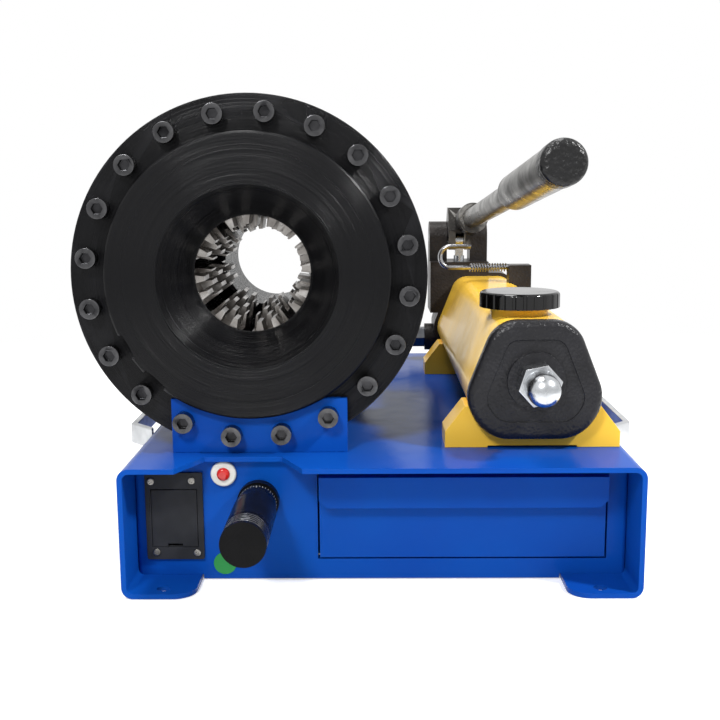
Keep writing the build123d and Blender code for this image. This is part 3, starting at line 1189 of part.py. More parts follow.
# Release valve knob
with BuildPart() as release_knob:
    with BuildSketch(along(PUMP_X + KNOB_FACE + PISTON_GAP, TANK_REAR + KNOB_DEPTH, DECK + KNOB_LIFT)):
        Circle(KNOB_RADIUS)
        with PolarLocations(KNOB_RADIUS, KNOB_FLUTES):
            Circle(KNOB_FLUTE_RADIUS, mode=Mode.SUBTRACT)
    extrude(amount=KNOB_LENGTH)
    with BuildSketch(along(PUMP_X + KNOB_FACE + PISTON_GAP, TANK_REAR + KNOB_DEPTH, DECK + KNOB_LIFT)):
        Circle(KNOB_STEM_RADIUS)
    extrude(amount=-KNOB_STEM_LENGTH)
release_knob.part.label = "release_knob"
export_step(release_knob.part, "parts/release_knob.step")

# Hook bracket, seated on the shoulder of the tank
with BuildPart() as hook_bracket:
    with BuildSketch(level(TANK_CEILING - HOOK_BLOCK_SINK)):
        with Locations((PUMP_X + HOOK_BLOCK_X, depth(HOOK_Y))):
            Rectangle(HOOK_BLOCK_WIDTH, HOOK_BLOCK_LENGTH)
    extrude(amount=HOOK_BLOCK_SINK + HOOK_LIFT + HOOK_BLOCK_TOP)
    block_end = tank_plane(HOOK_Y + HOOK_BLOCK_LENGTH)
    extrude(tank_section(block_end, 0), amount=2 * HOOK_BLOCK_LENGTH, mode=Mode.SUBTRACT)
    with BuildSketch(along(PUMP_X, HOOK_Y, HOOK_Z)):
        Circle(HOOK_ROD_RADIUS + HOOK_FIT)
    extrude(amount=TANK_WAIST, mode=Mode.SUBTRACT)
hook_bracket.part.label = "hook_bracket"
export_step(hook_bracket.part, "parts/hook_bracket.step")

# Hold-down hook, a bent rod that swings in the bracket
with BuildPart() as hold_hook:
    with BuildLine() as hook_path:
        lower = Line((PUMP_X + HOOK_RIGHT, depth(HOOK_Y), HOOK_Z), (PUMP_X + HOOK_TURN, depth(HOOK_Y), HOOK_Z))
        bend = ThreePointArc(
            (PUMP_X + HOOK_TURN, depth(HOOK_Y), HOOK_Z),
            (PUMP_X + HOOK_TURN - HOOK_BEND, depth(HOOK_Y), HOOK_Z + HOOK_BEND),
            (PUMP_X + HOOK_TURN, depth(HOOK_Y), HOOK_Z + 2 * HOOK_BEND),
        )
        upper = Line(
            (PUMP_X + HOOK_TURN, depth(HOOK_Y), HOOK_Z + 2 * HOOK_BEND),
            (PUMP_X + HOOK_TURN + HOOK_ARM, depth(HOOK_Y), HOOK_Z + 2 * HOOK_BEND),
        )
    with BuildSketch(along(PUMP_X + HOOK_RIGHT, HOOK_Y, HOOK_Z)):
        Circle(HOOK_ROD_RADIUS)
    sweep(path=hook_path.line)
hold_hook.part.label = "hold_hook"
export_step(hold_hook.part, "parts/hold_hook.step")

# Oil pipe from the pump head to the rear cover, and its union nuts
PORT_POINT = (HEAD_X + PORT_X, depth(HEAD_REAR), HEAD_Z + PORT_Z)
with BuildPart() as oil_pipe:
    with BuildLine() as pipe_path:
        FilletPolyline(
            (PORT_FACE, OIL_Y, OIL_Z), (PORT_POINT[0], OIL_Y, OIL_Z),
            (PORT_POINT[0], PORT_POINT[1] + PIPE_LEAD, PORT_POINT[2]), PORT_POINT, radius=PIPE_BEND,
        )
    with BuildSketch(Plane(origin=(PORT_FACE, OIL_Y, OIL_Z), x_dir=(0, 1, 0), z_dir=(-1, 0, 0))):
        Circle(PIPE_RADIUS)
    sweep(path=pipe_path.line)
oil_pipe.part.label = "oil_pipe"
export_step(oil_pipe.part, "parts/oil_pipe.step")

with BuildPart() as pipe_fittings:
    with BuildSketch(Plane(origin=(PORT_FACE, OIL_Y, OIL_Z), x_dir=(0, 1, 0), z_dir=(-1, 0, 0))):
        RegularPolygon(FITTING_HEX, 6)
        Circle(PIPE_RADIUS, mode=Mode.SUBTRACT)
    extrude(amount=FITTING_LENGTH)
    with BuildSketch(across(HEAD_REAR + FITTING_LENGTH, PORT_POINT[0], PORT_POINT[2])):
        RegularPolygon(FITTING_HEX, 6)
        Circle(PIPE_RADIUS, mode=Mode.SUBTRACT)
    extrude(amount=FITTING_LENGTH)
pipe_fittings.part.label = "pipe_fittings"
export_step(pipe_fittings.part, "parts/pipe_fittings.step")
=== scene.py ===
"""Looks of a bench hose crimping machine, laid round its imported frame.

Every length is in metres, +X to the right, +Y to the rear and +Z up, in the frame
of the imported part, whose origin is on the floor between the four foot holes.
"""

import json
import logging
import math
from dataclasses import dataclass, field
from enum import Enum
from functools import cached_property

import bpy
from mathutils import Matrix, Vector

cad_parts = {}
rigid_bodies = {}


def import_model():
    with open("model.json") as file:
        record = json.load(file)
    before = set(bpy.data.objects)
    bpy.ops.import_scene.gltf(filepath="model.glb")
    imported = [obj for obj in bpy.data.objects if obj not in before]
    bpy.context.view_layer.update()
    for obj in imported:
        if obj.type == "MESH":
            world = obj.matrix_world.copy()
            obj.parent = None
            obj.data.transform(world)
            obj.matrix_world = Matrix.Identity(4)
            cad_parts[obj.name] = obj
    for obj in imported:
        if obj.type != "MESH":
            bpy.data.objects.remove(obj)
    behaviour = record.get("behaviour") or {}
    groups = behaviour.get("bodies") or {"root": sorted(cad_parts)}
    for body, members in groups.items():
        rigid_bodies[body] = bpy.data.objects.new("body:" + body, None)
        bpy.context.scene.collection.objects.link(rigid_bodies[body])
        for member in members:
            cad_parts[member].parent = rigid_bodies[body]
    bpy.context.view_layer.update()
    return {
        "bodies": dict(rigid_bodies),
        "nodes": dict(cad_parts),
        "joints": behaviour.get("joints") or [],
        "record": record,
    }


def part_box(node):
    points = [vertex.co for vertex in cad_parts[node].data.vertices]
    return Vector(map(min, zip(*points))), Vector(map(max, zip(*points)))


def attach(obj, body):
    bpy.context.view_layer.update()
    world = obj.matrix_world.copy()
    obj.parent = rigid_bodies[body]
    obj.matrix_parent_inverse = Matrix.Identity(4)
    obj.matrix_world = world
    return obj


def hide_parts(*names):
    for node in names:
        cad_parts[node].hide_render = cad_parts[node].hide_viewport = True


LOG = logging.getLogger("crimping_machine")

Tree = bpy.types.NodeTree
Node = bpy.types.Node
Socket = bpy.types.NodeSocket
Piece = bpy.types.Object
Color = tuple[float, float, float, float]
Point = tuple[float, float, float]

MM = 0.001
DIES = 8
QUARTER = math.pi / 2

# Clean-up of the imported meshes, and the edges that are rounded and shaded sharp.
BOX_DIGITS = 4
MERGE_GAP = 0.005 * MM
COIL_MERGE_GAP = 0.001 * MM
FLAT_ANGLE = math.radians(0.6)
ROUND_ANGLE = math.radians(30)
SHADE_ANGLE = math.radians(32)

# Steps round a spring's wire and along each of its turns.
WIRE_SIDES = 8
COIL_STEPS = 18

# Sockets of the Mix node that carry colours.
COLOR_A, COLOR_B, COLOR_RESULT = 6, 7, 2


def paint(red: int, green: int, blue: int) -> Color:
    """Turn a screen colour into a linear one.

    Args:
        red: Red from 0 to 255.
        green: Green from 0 to 255.
        blue: Blue from 0 to 255.

    Returns:
        The linear colour, opaque.
    """
    levels = []
    for value in (red, green, blue):
        share = value / 255
        levels.append(share / 12.92 if share <= 0.04045 else ((share + 0.055) / 1.055) ** 2.4)
    return (*levels, 1.0)


def math_node(tree: Tree, operation: str, *values: Socket | float) -> Socket:
    """Add a math node.

    Args:
        tree: Tree that gets the node.
        operation: Name of the operation.
        values: Sockets to link, or numbers to set, in order.

    Returns:
        The output socket.
    """
    node = tree.nodes.new("ShaderNodeMath")
    node.operation = operation
    for slot, value in zip(node.inputs, values):
        if isinstance(value, Socket):
            tree.links.new(value, slot)
        else:
            slot.default_value = value
    return node.outputs[0]


@dataclass(frozen=True)
class Extent:
    """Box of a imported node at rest, to a tenth of a millimetre."""

    low: Point
    high: Point

    @classmethod
    def of(cls, node: str) -> "Extent":
        """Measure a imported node.

        Args:
            node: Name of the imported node.

        Returns:
            Its box.
        """
        corners = (tuple(round(value, BOX_DIGITS) for value in corner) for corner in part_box(node))
        return cls(*corners)

    @property
    def middle(self) -> Point:
        """Middle of the box."""
        return tuple(round((low + high) / 2, BOX_DIGITS) for low, high in zip(self.low, self.high))


def extent(node: str) -> Extent:
    """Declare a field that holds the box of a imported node.

    Args:
        node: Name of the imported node.

    Returns:
        The field, measured when its owner is made.
    """
    return field(default_factory=lambda: Extent.of(node))


class Slot(Enum):
    """Material slots of the record."""

    BLUE = "blue_paint"
    HEAD = "black_steel"
    SCREW = "screw_steel"
    DIE = "machined_steel"
    SPRING = "spring_steel"
    SEAL = "seal_rubber"
    PLASTIC = "black_plastic"
    CELL = "cell_shell"
    WHITE = "white_plastic"
    LENS = "red_lens"
    HANDLE = "light_aluminium"
    YELLOW = "yellow_paint"
    CASTING = "black_casting"
    STEEL = "bright_steel"
    GRIP = "black_grip"
    PIPE = "pipe_steel"


class Look(Enum):
    """Finishes that some pieces have instead of their slot's own."""

    SPOT = "Green spot"
    PUMP = "Black pump casting"
    FORGING = "Black lever forging"
    TUBE = "Worn grey tube"
    CAP = "Gloss black cap"
    MATTE = "Matt black plastic"


class SharedGroups:
    """Shader node groups that several finishes share, each built once."""

    @staticmethod
    def _start(
        name: str, inputs: dict[str, float], outputs: tuple[str, ...],
    ) -> tuple[Tree, Node, Node]:
        """Make an empty group with its sockets.

        Args:
            name: Name of the group.
            inputs: Input names with their default values.
            outputs: Names of the float outputs.

        Returns:
            The new node tree, its input node and its output node.
        """
        tree = bpy.data.node_groups.new(name, "ShaderNodeTree")
        kind = "NodeSocketFloat"
        for label, value in inputs.items():
            socket = tree.interface.new_socket(name=label, in_out="INPUT", socket_type=kind)
            socket.default_value = value
        for label in outputs:
            tree.interface.new_socket(name=label, in_out="OUTPUT", socket_type=kind)
        return tree, tree.nodes.new("NodeGroupInput"), tree.nodes.new("NodeGroupOutput")

    @cached_property
    def mottle(self) -> Tree:
        """Soft patches of noise on Object coordinates.

        Returns:
            The group, whose mask lies between 0 and 1.
        """
        inputs = {"Scale": 20.0, "Detail": 4.0, "Low": 0.3, "High": 0.7}
        tree, start, end = self._start("Soft mottle", inputs, ("Mask",))
        place = tree.nodes.new("ShaderNodeTexCoord")
        noise = tree.nodes.new("ShaderNodeTexNoise")
        spread = tree.nodes.new("ShaderNodeMapRange")
        tree.links.new(place.outputs["Object"], noise.inputs["Vector"])
        tree.links.new(start.outputs["Scale"], noise.inputs["Scale"])
        tree.links.new(start.outputs["Detail"], noise.inputs["Detail"])
        tree.links.new(noise.outputs["Fac"], spread.inputs["Value"])
        tree.links.new(start.outputs["Low"], spread.inputs["From Min"])
        tree.links.new(start.outputs["High"], spread.inputs["From Max"])
        tree.links.new(spread.outputs["Result"], end.inputs["Mask"])
        return tree

    @cached_property
    def edge_wear(self) -> Tree:
        """Outward edges, broken up by noise, where a coat rubs off.

        Returns:
            The group, whose mask is 0 away from the edges.
        """
        inputs = {"Start": 0.53, "End": 0.6, "Scale": 90.0, "Amount": 1.0}
        tree, start, end = self._start("Edge wear", inputs, ("Mask",))
        surface = tree.nodes.new("ShaderNodeNewGeometry")
        spread = tree.nodes.new("ShaderNodeMapRange")
        place = tree.nodes.new("ShaderNodeTexCoord")
        noise = tree.nodes.new("ShaderNodeTexNoise")
        tree.links.new(surface.outputs["Pointiness"], spread.inputs["Value"])
        tree.links.new(start.outputs["Start"], spread.inputs["From Min"])
        tree.links.new(start.outputs["End"], spread.inputs["From Max"])
        tree.links.new(place.outputs["Object"], noise.inputs["Vector"])
        tree.links.new(start.outputs["Scale"], noise.inputs["Scale"])
        worn = math_node(tree, "MULTIPLY", spread.outputs["Result"], noise.outputs["Fac"])
        worn = math_node(tree, "MULTIPLY", worn, start.outputs["Amount"])
        tree.links.new(worn, end.inputs["Mask"])
        return tree

    @cached_property
    def turning(self) -> Tree:
        """Fine rings about an axis along Y, as a lathe tool leaves them.

        Returns:
            The group, with the rings as a height and broad bands of them as a mask.
        """
        inputs = {"Centre X": 0.0, "Centre Z": 0.0, "Rings": 900.0, "Along": 0.0}
        tree, start, end = self._start("Turning marks", inputs, ("Rings", "Broad"))
        place = tree.nodes.new("ShaderNodeTexCoord")
        split = tree.nodes.new("ShaderNodeSeparateXYZ")
        tree.links.new(place.outputs["Object"], split.inputs[0])
        across = math_node(tree, "SUBTRACT", split.outputs["X"], start.outputs["Centre X"])
        above = math_node(tree, "SUBTRACT", split.outputs["Z"], start.outputs["Centre Z"])
        squares = [math_node(tree, "MULTIPLY", side, side) for side in (across, above)]
        radius = math_node(tree, "SQRT", math_node(tree, "ADD", *squares))
        shift = math_node(tree, "MULTIPLY", split.outputs["Y"], start.outputs["Along"])
        line = math_node(tree, "ADD", radius, shift)
        for label, share in (("Rings", 1.0), ("Broad", 0.12)):
            noise = tree.nodes.new("ShaderNodeTexNoise")
            noise.noise_dimensions = "1D"
            noise.inputs["Scale"].default_value = 1.0
            noise.inputs["Detail"].default_value = 2.0
            count = math_node(tree, "MULTIPLY", start.outputs["Rings"], share)
            tree.links.new(math_node(tree, "MULTIPLY", line, count), noise.inputs["W"])
            tree.links.new(noise.outputs["Fac"], end.inputs[label])
        return tree

    @cached_property
    def grain(self) -> Tree:
        """Pebbled grain of a moulded or cast skin.

        Returns:
            The group, whose height lies between 0 and 1.
        """
        inputs = {"Scale": 500.0, "Softness": 0.5}
        tree, start, end = self._start("Pebbled grain", inputs, ("Height",))
        place = tree.nodes.new("ShaderNodeTexCoord")
        cells = tree.nodes.new("ShaderNodeTexVoronoi")
        cells.feature = "SMOOTH_F1"
        noise = tree.nodes.new("ShaderNodeTexNoise")
        noise.inputs["Detail"].default_value = 3.0
        for node in (cells, noise):
            tree.links.new(place.outputs["Object"], node.inputs["Vector"])
            tree.links.new(start.outputs["Scale"], node.inputs["Scale"])
        tree.links.new(start.outputs["Softness"], cells.inputs["Smoothness"])
        total = math_node(tree, "ADD", cells.outputs["Distance"], noise.outputs["Fac"])
        tree.links.new(math_node(tree, "MULTIPLY", total, 0.5), end.inputs["Height"])
        return tree


GROUPS = SharedGroups()


class Shader:
    """A material under construction, with its Principled BSDF."""

    def __init__(self, name: str) -> None:
        """Make the material and its two basic nodes.

        Args:
            name: Name of the material.
        """
        self.material = bpy.data.materials.new(name)
        self.material.use_nodes = True
        self.tree = self.material.node_tree
        self.surface = self.tree.nodes["Principled BSDF"]

    def group(self, tree: Tree, **values: float) -> Node:
        """Place a shared group.

        Args:
            tree: The group.
            values: Its input values, named with underscores for spaces.

        Returns:
            The group's node.
        """
        node = self.tree.nodes.new("ShaderNodeGroup")
        node.node_tree = tree
        for label, value in values.items():
            node.inputs[label.replace("_", " ")].default_value = value
        return node

    def blend(self, mask: Socket, first: Socket | Color, second: Color) -> Socket:
        """Mix two colours by a mask.

        Args:
            mask: Socket between 0 and 1.
            first: Colour, or socket with a colour, where the mask is 0.
            second: Colour where the mask is 1.

        Returns:
            Socket with the mixed colour.
        """
        mix = self.tree.nodes.new("ShaderNodeMix")
        mix.data_type = "RGBA"
        self.tree.links.new(mask, mix.inputs["Factor"])
        if isinstance(first, Socket):
            self.tree.links.new(first, mix.inputs[COLOR_A])
        else:
            mix.inputs[COLOR_A].default_value = first
        mix.inputs[COLOR_B].default_value = second
        return mix.outputs[COLOR_RESULT]

    def roughen(self, mask: Socket, roughness: float, change: tuple[float, float]) -> None:
        """Vary the roughness by a mask.

        Args:
            mask: Socket between 0 and 1.
            roughness: Roughness of the plain surface.
            change: What is added to it where the mask is 0 and where it is 1.
        """
        node = self.tree.nodes.new("ShaderNodeMapRange")
        self.tree.links.new(mask, node.inputs["Value"])
        node.inputs["To Min"].default_value = roughness + change[0]
        node.inputs["To Max"].default_value = roughness + change[1]
        self.link(node.outputs["Result"], "Roughness")

    def link(self, value: Socket, label: str) -> None:
        """Link a socket to one of the BSDF's inputs.

        Args:
            value: The socket.
            label: Name of the input.
        """
        self.tree.links.new(value, self.surface.inputs[label])

    def set(self, **values: float) -> None:
        """Set the BSDF's own inputs.

        Args:
            values: Their values, named with underscores for spaces.
        """
        for label, value in values.items():
            self.surface.inputs[label.replace("_", " ")].default_value = value

    def bump(self, height: Socket, distance: float, strength: float = 1.0) -> None:
        """Raise the surface by a height.

        Args:
            height: Socket with the height between 0 and 1.
            distance: Height of a full step.
            strength: Share of the bump that shows.
        """
        node = self.tree.nodes.new("ShaderNodeBump")
        node.inputs["Distance"].default_value = distance
        node.inputs["Strength"].default_value = strength
        self.tree.links.new(height, node.inputs["Height"])
        self.link(node.outputs["Normal"], "Normal")


@dataclass(frozen=True)
class Enamel:
    """Sprayed gloss paint with a faint orange peel."""

    name: str
    color: Color
    shade: Color
    roughness: float = 0.24
    gloss: float = 0.12
    dust: tuple[float, float] = (-0.04, 0.05)
    peel: float = 0.06 * MM
    peel_strength: float = 0.5

    def build(self) -> bpy.types.Material:
        """Return the material."""
        shader = Shader(self.name)
        patches = shader.group(GROUPS.mottle, Scale=9.0, Detail=3.0, Low=0.3, High=0.75)
        shader.link(shader.blend(patches.outputs["Mask"], self.color, self.shade), "Base Color")
        dust = shader.group(GROUPS.mottle, Scale=60.0, Detail=6.0, Low=0.35, High=0.7)
        shader.roughen(dust.outputs["Mask"], self.roughness, self.dust)
        skin = shader.group(GROUPS.mottle, Scale=420.0, Detail=1.0, Low=0.2, High=0.8)
        shader.bump(skin.outputs["Mask"], self.peel, self.peel_strength)
        shader.set(Specular_IOR_Level=self.gloss)
        return shader.material


@dataclass(frozen=True)
class Oxide:
    """Black oxide steel with turning rings about an axis along Y.

    The rings follow the radius and, by a share of it, the depth, so that walls along
    the axis and the cone have rings too.
    """

    name: str
    color: Color
    shade: Color
    worn: Color
    axis: Point
    roughness: float = 0.24
    gloss: float = 0.15
    bands: tuple[float, float] = (-0.07, 0.07)
    rings: float = 2600.0
    ring_height: float = 0.32 * MM
    depth_share: float = -0.7

    def build(self) -> bpy.types.Material:
        """Return the material."""
        shader = Shader(self.name)
        marks = shader.group(
            GROUPS.turning, Centre_X=self.axis[0], Centre_Z=self.axis[2], Rings=self.rings,
            Along=self.depth_share,
        )
        body = shader.blend(marks.outputs["Broad"], self.color, self.shade)
        edges = shader.group(GROUPS.edge_wear, Start=0.54, End=0.66, Scale=70.0, Amount=0.8)
        shader.link(shader.blend(edges.outputs["Mask"], body, self.worn), "Base Color")
        shader.roughen(marks.outputs["Broad"], self.roughness, self.bands)
        shader.bump(marks.outputs["Rings"], self.ring_height)
        shader.set(Specular_IOR_Level=self.gloss)
        return shader.material


@dataclass(frozen=True)
class Steel:
    """Bare or plated metal with stains, fine scratches and worn edges."""

    name: str
    color: Color
    stain: Color
    worn: Color = (0.6, 0.6, 0.6, 1.0)
    wear: float = 0.0
    roughness: float = 0.3
    metallic: float = 1.0
    dulling: tuple[float, float] = (0.0, 0.14)
    grain_scale: float = 500.0
    grain_height: float = 0.02 * MM

    def build(self) -> bpy.types.Material:
        """Return the material."""
        shader = Shader(self.name)
        patches = shader.group(GROUPS.mottle, Scale=55.0, Detail=6.0, Low=0.35, High=0.72)
        tint = shader.blend(patches.outputs["Mask"], self.color, self.stain)
        edges = shader.group(GROUPS.edge_wear, Start=0.53, End=0.62, Scale=160.0, Amount=self.wear)
        shader.link(shader.blend(edges.outputs["Mask"], tint, self.worn), "Base Color")
        shader.roughen(patches.outputs["Mask"], self.roughness, self.dulling)
        skin = shader.group(GROUPS.grain, Scale=self.grain_scale, Softness=0.6)
        shader.bump(skin.outputs["Height"], self.grain_height)
        shader.set(Metallic=self.metallic)
        return shader.material


@dataclass(frozen=True)
class Moulding:
    """Moulded plastic, rubber or powder coat with a pebbled grain."""

    name: str
    color: Color
    shade: Color
    roughness: float = 0.5
    gloss: float = 0.25
    coat: float = 0.0
    coat_roughness: float = 0.1
    scuffs: tuple[float, float] = (-0.05, 0.08)
    grain_scale: float = 650.0
    grain_height: float = 0.04 * MM

    def build(self) -> bpy.types.Material:
        """Return the material."""
        shader = Shader(self.name)
        patches = shader.group(GROUPS.mottle, Scale=45.0, Detail=5.0, Low=0.3, High=0.75)
        shader.link(shader.blend(patches.outputs["Mask"], self.color, self.shade), "Base Color")
        shader.roughen(patches.outputs["Mask"], self.roughness, self.scuffs)
        skin = shader.group(GROUPS.grain, Scale=self.grain_scale, Softness=0.7)
        shader.bump(skin.outputs["Height"], self.grain_height)
        shader.set(Coat_Weight=self.coat, Coat_Roughness=self.coat_roughness)
        shader.set(Specular_IOR_Level=self.gloss)
        return shader.material


class FinishShelf:
    """The machine's finishes, one material for each slot and each special look."""

    def __init__(self, head_axis: Point) -> None:
        """Build every finish.

        Args:
            head_axis: A point on the axis of the crimping head.
        """
        finishes = {
            Slot.BLUE: Enamel(
                "Blue enamel", paint(10, 75, 164), paint(12, 64, 152), roughness=0.18, gloss=0.045,
            ),
            Slot.HEAD: Oxide(
                "Black oxide steel", paint(13, 13, 15), paint(7, 7, 9), paint(150, 150, 158),
                axis=head_axis,
            ),
            Slot.SCREW: Steel(
                "Black socket screws", paint(66, 66, 68), paint(26, 26, 28), paint(190, 190, 192),
                wear=1.0, roughness=0.2,
            ),
            Slot.DIE: Steel(
                "Ground die steel", paint(150, 146, 142), paint(84, 78, 74), paint(225, 223, 220),
                wear=0.7, roughness=0.24, grain_height=0.01 * MM,
            ),
            Slot.SPRING: Steel(
                "Spring wire", paint(168, 168, 170), paint(96, 96, 98), roughness=0.18,
            ),
            Slot.SEAL: Moulding("Seal rubber", paint(38, 38, 38), paint(28, 28, 28), roughness=0.7),
            Slot.PLASTIC: Moulding(
                "Black plastic", paint(15, 15, 16), paint(10, 10, 11), roughness=0.28, gloss=0.06,
            ),
            Slot.CELL: Enamel("Cell jacket", paint(150, 152, 156), paint(120, 122, 126)),
            Slot.WHITE: Moulding(
                "White bezel", paint(214, 214, 208), paint(198, 198, 192), roughness=0.3, coat=0.3,
                grain_height=0.01 * MM,
            ),
            Slot.LENS: Moulding(
                "Red lens", paint(206, 34, 28), paint(176, 24, 20), roughness=0.14, coat=0.6,
                grain_height=0.01 * MM,
            ),
            Slot.HANDLE: Steel(
                "Handle aluminium", paint(206, 208, 210), paint(176, 178, 180), roughness=0.36,
            ),
            Slot.YELLOW: Enamel(
                "Yellow enamel", paint(248, 202, 76), paint(236, 184, 58),
                roughness=0.22, gloss=0.09,
            ),
            Slot.CASTING: Moulding(
                "Black grained cap", paint(34, 34, 37), paint(26, 26, 28),
                roughness=0.28, gloss=0.22, grain_scale=420.0, grain_height=0.8 * MM,
            ),
            Slot.STEEL: Steel(
                "Zinc plated steel", paint(206, 209, 212), paint(150, 152, 155),
                paint(240, 240, 240), wear=0.6, roughness=0.2,
            ),
            Slot.GRIP: Moulding(
                "Black end plug", paint(22, 22, 23), paint(10, 10, 10),
                roughness=0.3, gloss=0.3, grain_scale=330.0, grain_height=1.4 * MM,
            ),
            Slot.PIPE: Steel("Hydraulic pipe", paint(120, 122, 126), paint(86, 88, 92)),
            Look.MATTE: Moulding(
                "Matt black plastic", paint(44, 45, 48), paint(34, 35, 38), gloss=0.1,
            ),
            Look.SPOT: Moulding(
                "Green spot", paint(40, 138, 66), paint(32, 122, 58), roughness=0.4,
                grain_height=0.01 * MM,
            ),
            Look.PUMP: Moulding(
                "Black pump casting", paint(50, 46, 44), paint(30, 27, 26),
                roughness=0.34, gloss=0.15, grain_scale=380.0, grain_height=0.6 * MM,
            ),
            Look.FORGING: Steel(
                "Black lever forging", paint(58, 56, 54), paint(26, 25, 24), paint(170, 168, 164),
                wear=0.9, roughness=0.26, metallic=0.85, grain_scale=260.0, grain_height=0.3 * MM,
            ),
            Look.TUBE: Steel(
                "Worn grey tube", paint(132, 130, 126), paint(66, 64, 60), paint(200, 198, 194),
                wear=0.5, roughness=0.26, grain_scale=900.0, grain_height=0.06 * MM,
            ),
            Look.CAP: Moulding(
                "Gloss black cap", paint(8, 8, 9), paint(5, 5, 6), roughness=0.1, gloss=0.45,
                grain_height=0.01 * MM,
            ),
        }
        self.made = {key: finish.build() for key, finish in finishes.items()}

    def __getitem__(self, key: Slot | Look) -> bpy.types.Material:
        """Return the material of a slot or a special look."""
        return self.made[key]


@dataclass(frozen=True)
class Winding:
    """Measures of a coil spring, its radius taken to the wire's centre line."""

    radius: float
    wire: float
    length: float
    turns: int


class Bench:
    """Tools for shaping a piece as by hand, and for joining it to the machine."""

    def __init__(self, frame: dict, shelf: FinishShelf) -> None:
        """Keep the frame and the finishes.

        Args:
            shelf: The finishes by slot.
        """
        record = frame["record"]
        self.nodes = frame["nodes"]
        self.shelf = shelf
        self.body_of = {
            node: body for body, nodes in record["behaviour"]["bodies"].items() for node in nodes
        }
        self.slot_of = {part["node"]: Slot(part["material_slot"]) for part in record["subparts"]}

    @staticmethod
    def deselect() -> None:
        """Deselect every object."""
        bpy.ops.object.select_all(action="DESELECT")

    @classmethod
    def activate(cls, piece: Piece) -> None:
        """Make one object the only selected and active one."""
        cls.deselect()
        piece.select_set(True)
        bpy.context.view_layer.objects.active = piece

    @classmethod
    def settle(cls, piece: Piece) -> None:
        """Move a piece's place, turn and scale into its mesh."""
        cls.activate(piece)
        bpy.ops.object.transform_apply(location=True, rotation=True, scale=True)

    def merged_copy(self, node: str, name: str) -> Piece:
        """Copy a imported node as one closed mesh.

        Args:
            node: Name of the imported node.
            name: Name of the new piece.

        Returns:
            The new object, with its doubles merged and its flat faces joined.
        """
        piece = bpy.data.objects.new(name, self.nodes[node].data.copy())
        bpy.context.scene.collection.objects.link(piece)
        self.activate(piece)
        bpy.ops.object.mode_set(mode="EDIT")
        bpy.ops.mesh.select_all(action="SELECT")
        bpy.ops.mesh.remove_doubles(threshold=MERGE_GAP)
        bpy.ops.mesh.dissolve_limited(angle_limit=FLAT_ANGLE)
        bpy.ops.object.mode_set(mode="OBJECT")
        return piece

    def round_edges(self, piece: Piece, width: float, segments: int = 2) -> None:
        """Round the sharp edges of a piece and smooth its shading.

        Args:
            piece: Object to round.
            width: Width of the rounding.
            segments: Steps across the rounding.
        """
        self.activate(piece)
        bevel = piece.modifiers.new("Rounding", "BEVEL")
        bevel.width = width
        bevel.segments = segments
        bevel.limit_method = "ANGLE"
        bevel.angle_limit = ROUND_ANGLE
        bevel.miter_outer = "MITER_ARC"
        bpy.ops.object.modifier_apply(modifier=bevel.name)
        bpy.ops.object.shade_smooth_by_angle(angle=SHADE_ANGLE)
        even = piece.modifiers.new("Even shading", "WEIGHTED_NORMAL")
        even.keep_sharp = True
        bpy.ops.object.modifier_apply(modifier=even.name)

    def disc(self, name: str, radius: float, length: float, front: Point, sides: int) -> Piece:
        """Add a round bar along Y.

        Args:
            name: Name of the new piece.
            radius: Its radius.
            length: Its length.
            front: Centre of the end that faces the front.
            sides: Steps round it.

        Returns:
            The new object, with its place in its mesh.
        """
        self.deselect()
        bpy.ops.mesh.primitive_cylinder_add(
            vertices=sides, radius=radius, depth=length,
            location=(front[0], front[1] + length / 2, front[2]), rotation=(QUARTER, 0.0, 0.0),
        )
        piece = bpy.context.active_object
        piece.name = name
        self.settle(piece)
        return piece

    def block(self, name: str, size: Point, centre: Point, turn: float) -> Piece:
        """Add a block, turned about Y.

        Args:
            name: Name of the new piece.
            size: Its lengths along X, Y and Z before the turn.
            centre: Its centre.
            turn: Its turn about Y, in radians.

        Returns:
            The new object, with its place in its mesh.
        """
        self.deselect()
        bpy.ops.mesh.primitive_cube_add(
            size=1.0, location=centre, rotation=(0.0, turn, 0.0), scale=size,
        )
        piece = bpy.context.active_object
        piece.name = name
        self.settle(piece)
        return piece

    def coil(self, name: str, winding: Winding) -> Piece:
        """Wind a coil spring along Z, up from the origin.

        Args:
            name: Name of the new piece.
            winding: Its measures.

        Returns:
            The spring, with closed ends.
        """
        self.deselect()
        bpy.ops.mesh.primitive_circle_add(
            vertices=WIRE_SIDES, radius=winding.wire, location=(winding.radius, 0.0, 0.0),
            rotation=(QUARTER, 0.0, 0.0),
        )
        piece = bpy.context.active_object
        piece.name = name
        self.settle(piece)
        screw = piece.modifiers.new("Winding", "SCREW")
        screw.axis = "Z"
        screw.screw_offset = winding.length / winding.turns
        screw.iterations = winding.turns
        screw.steps = COIL_STEPS
        screw.render_steps = COIL_STEPS
        bpy.ops.object.modifier_apply(modifier=screw.name)
        bpy.ops.object.mode_set(mode="EDIT")
        bpy.ops.mesh.select_all(action="SELECT")
        bpy.ops.mesh.remove_doubles(threshold=COIL_MERGE_GAP)
        bpy.ops.mesh.fill_holes(sides=0)
        bpy.ops.mesh.normals_make_consistent(inside=False)
        bpy.ops.object.mode_set(mode="OBJECT")
        bpy.ops.object.shade_smooth_by_angle(angle=SHADE_ANGLE)
        return piece

    def cut(self, piece: Piece, cutter: Piece) -> None:
        """Cut one object out of another and remove the cutter.

        Args:
            piece: Object that is cut.
            cutter: Object that is taken away from it.
        """
        self.activate(piece)
        difference = piece.modifiers.new("Cut", "BOOLEAN")
        difference.operation = "DIFFERENCE"
        difference.object = cutter
        bpy.ops.object.modifier_apply(modifier=difference.name)
        bpy.data.objects.remove(cutter)

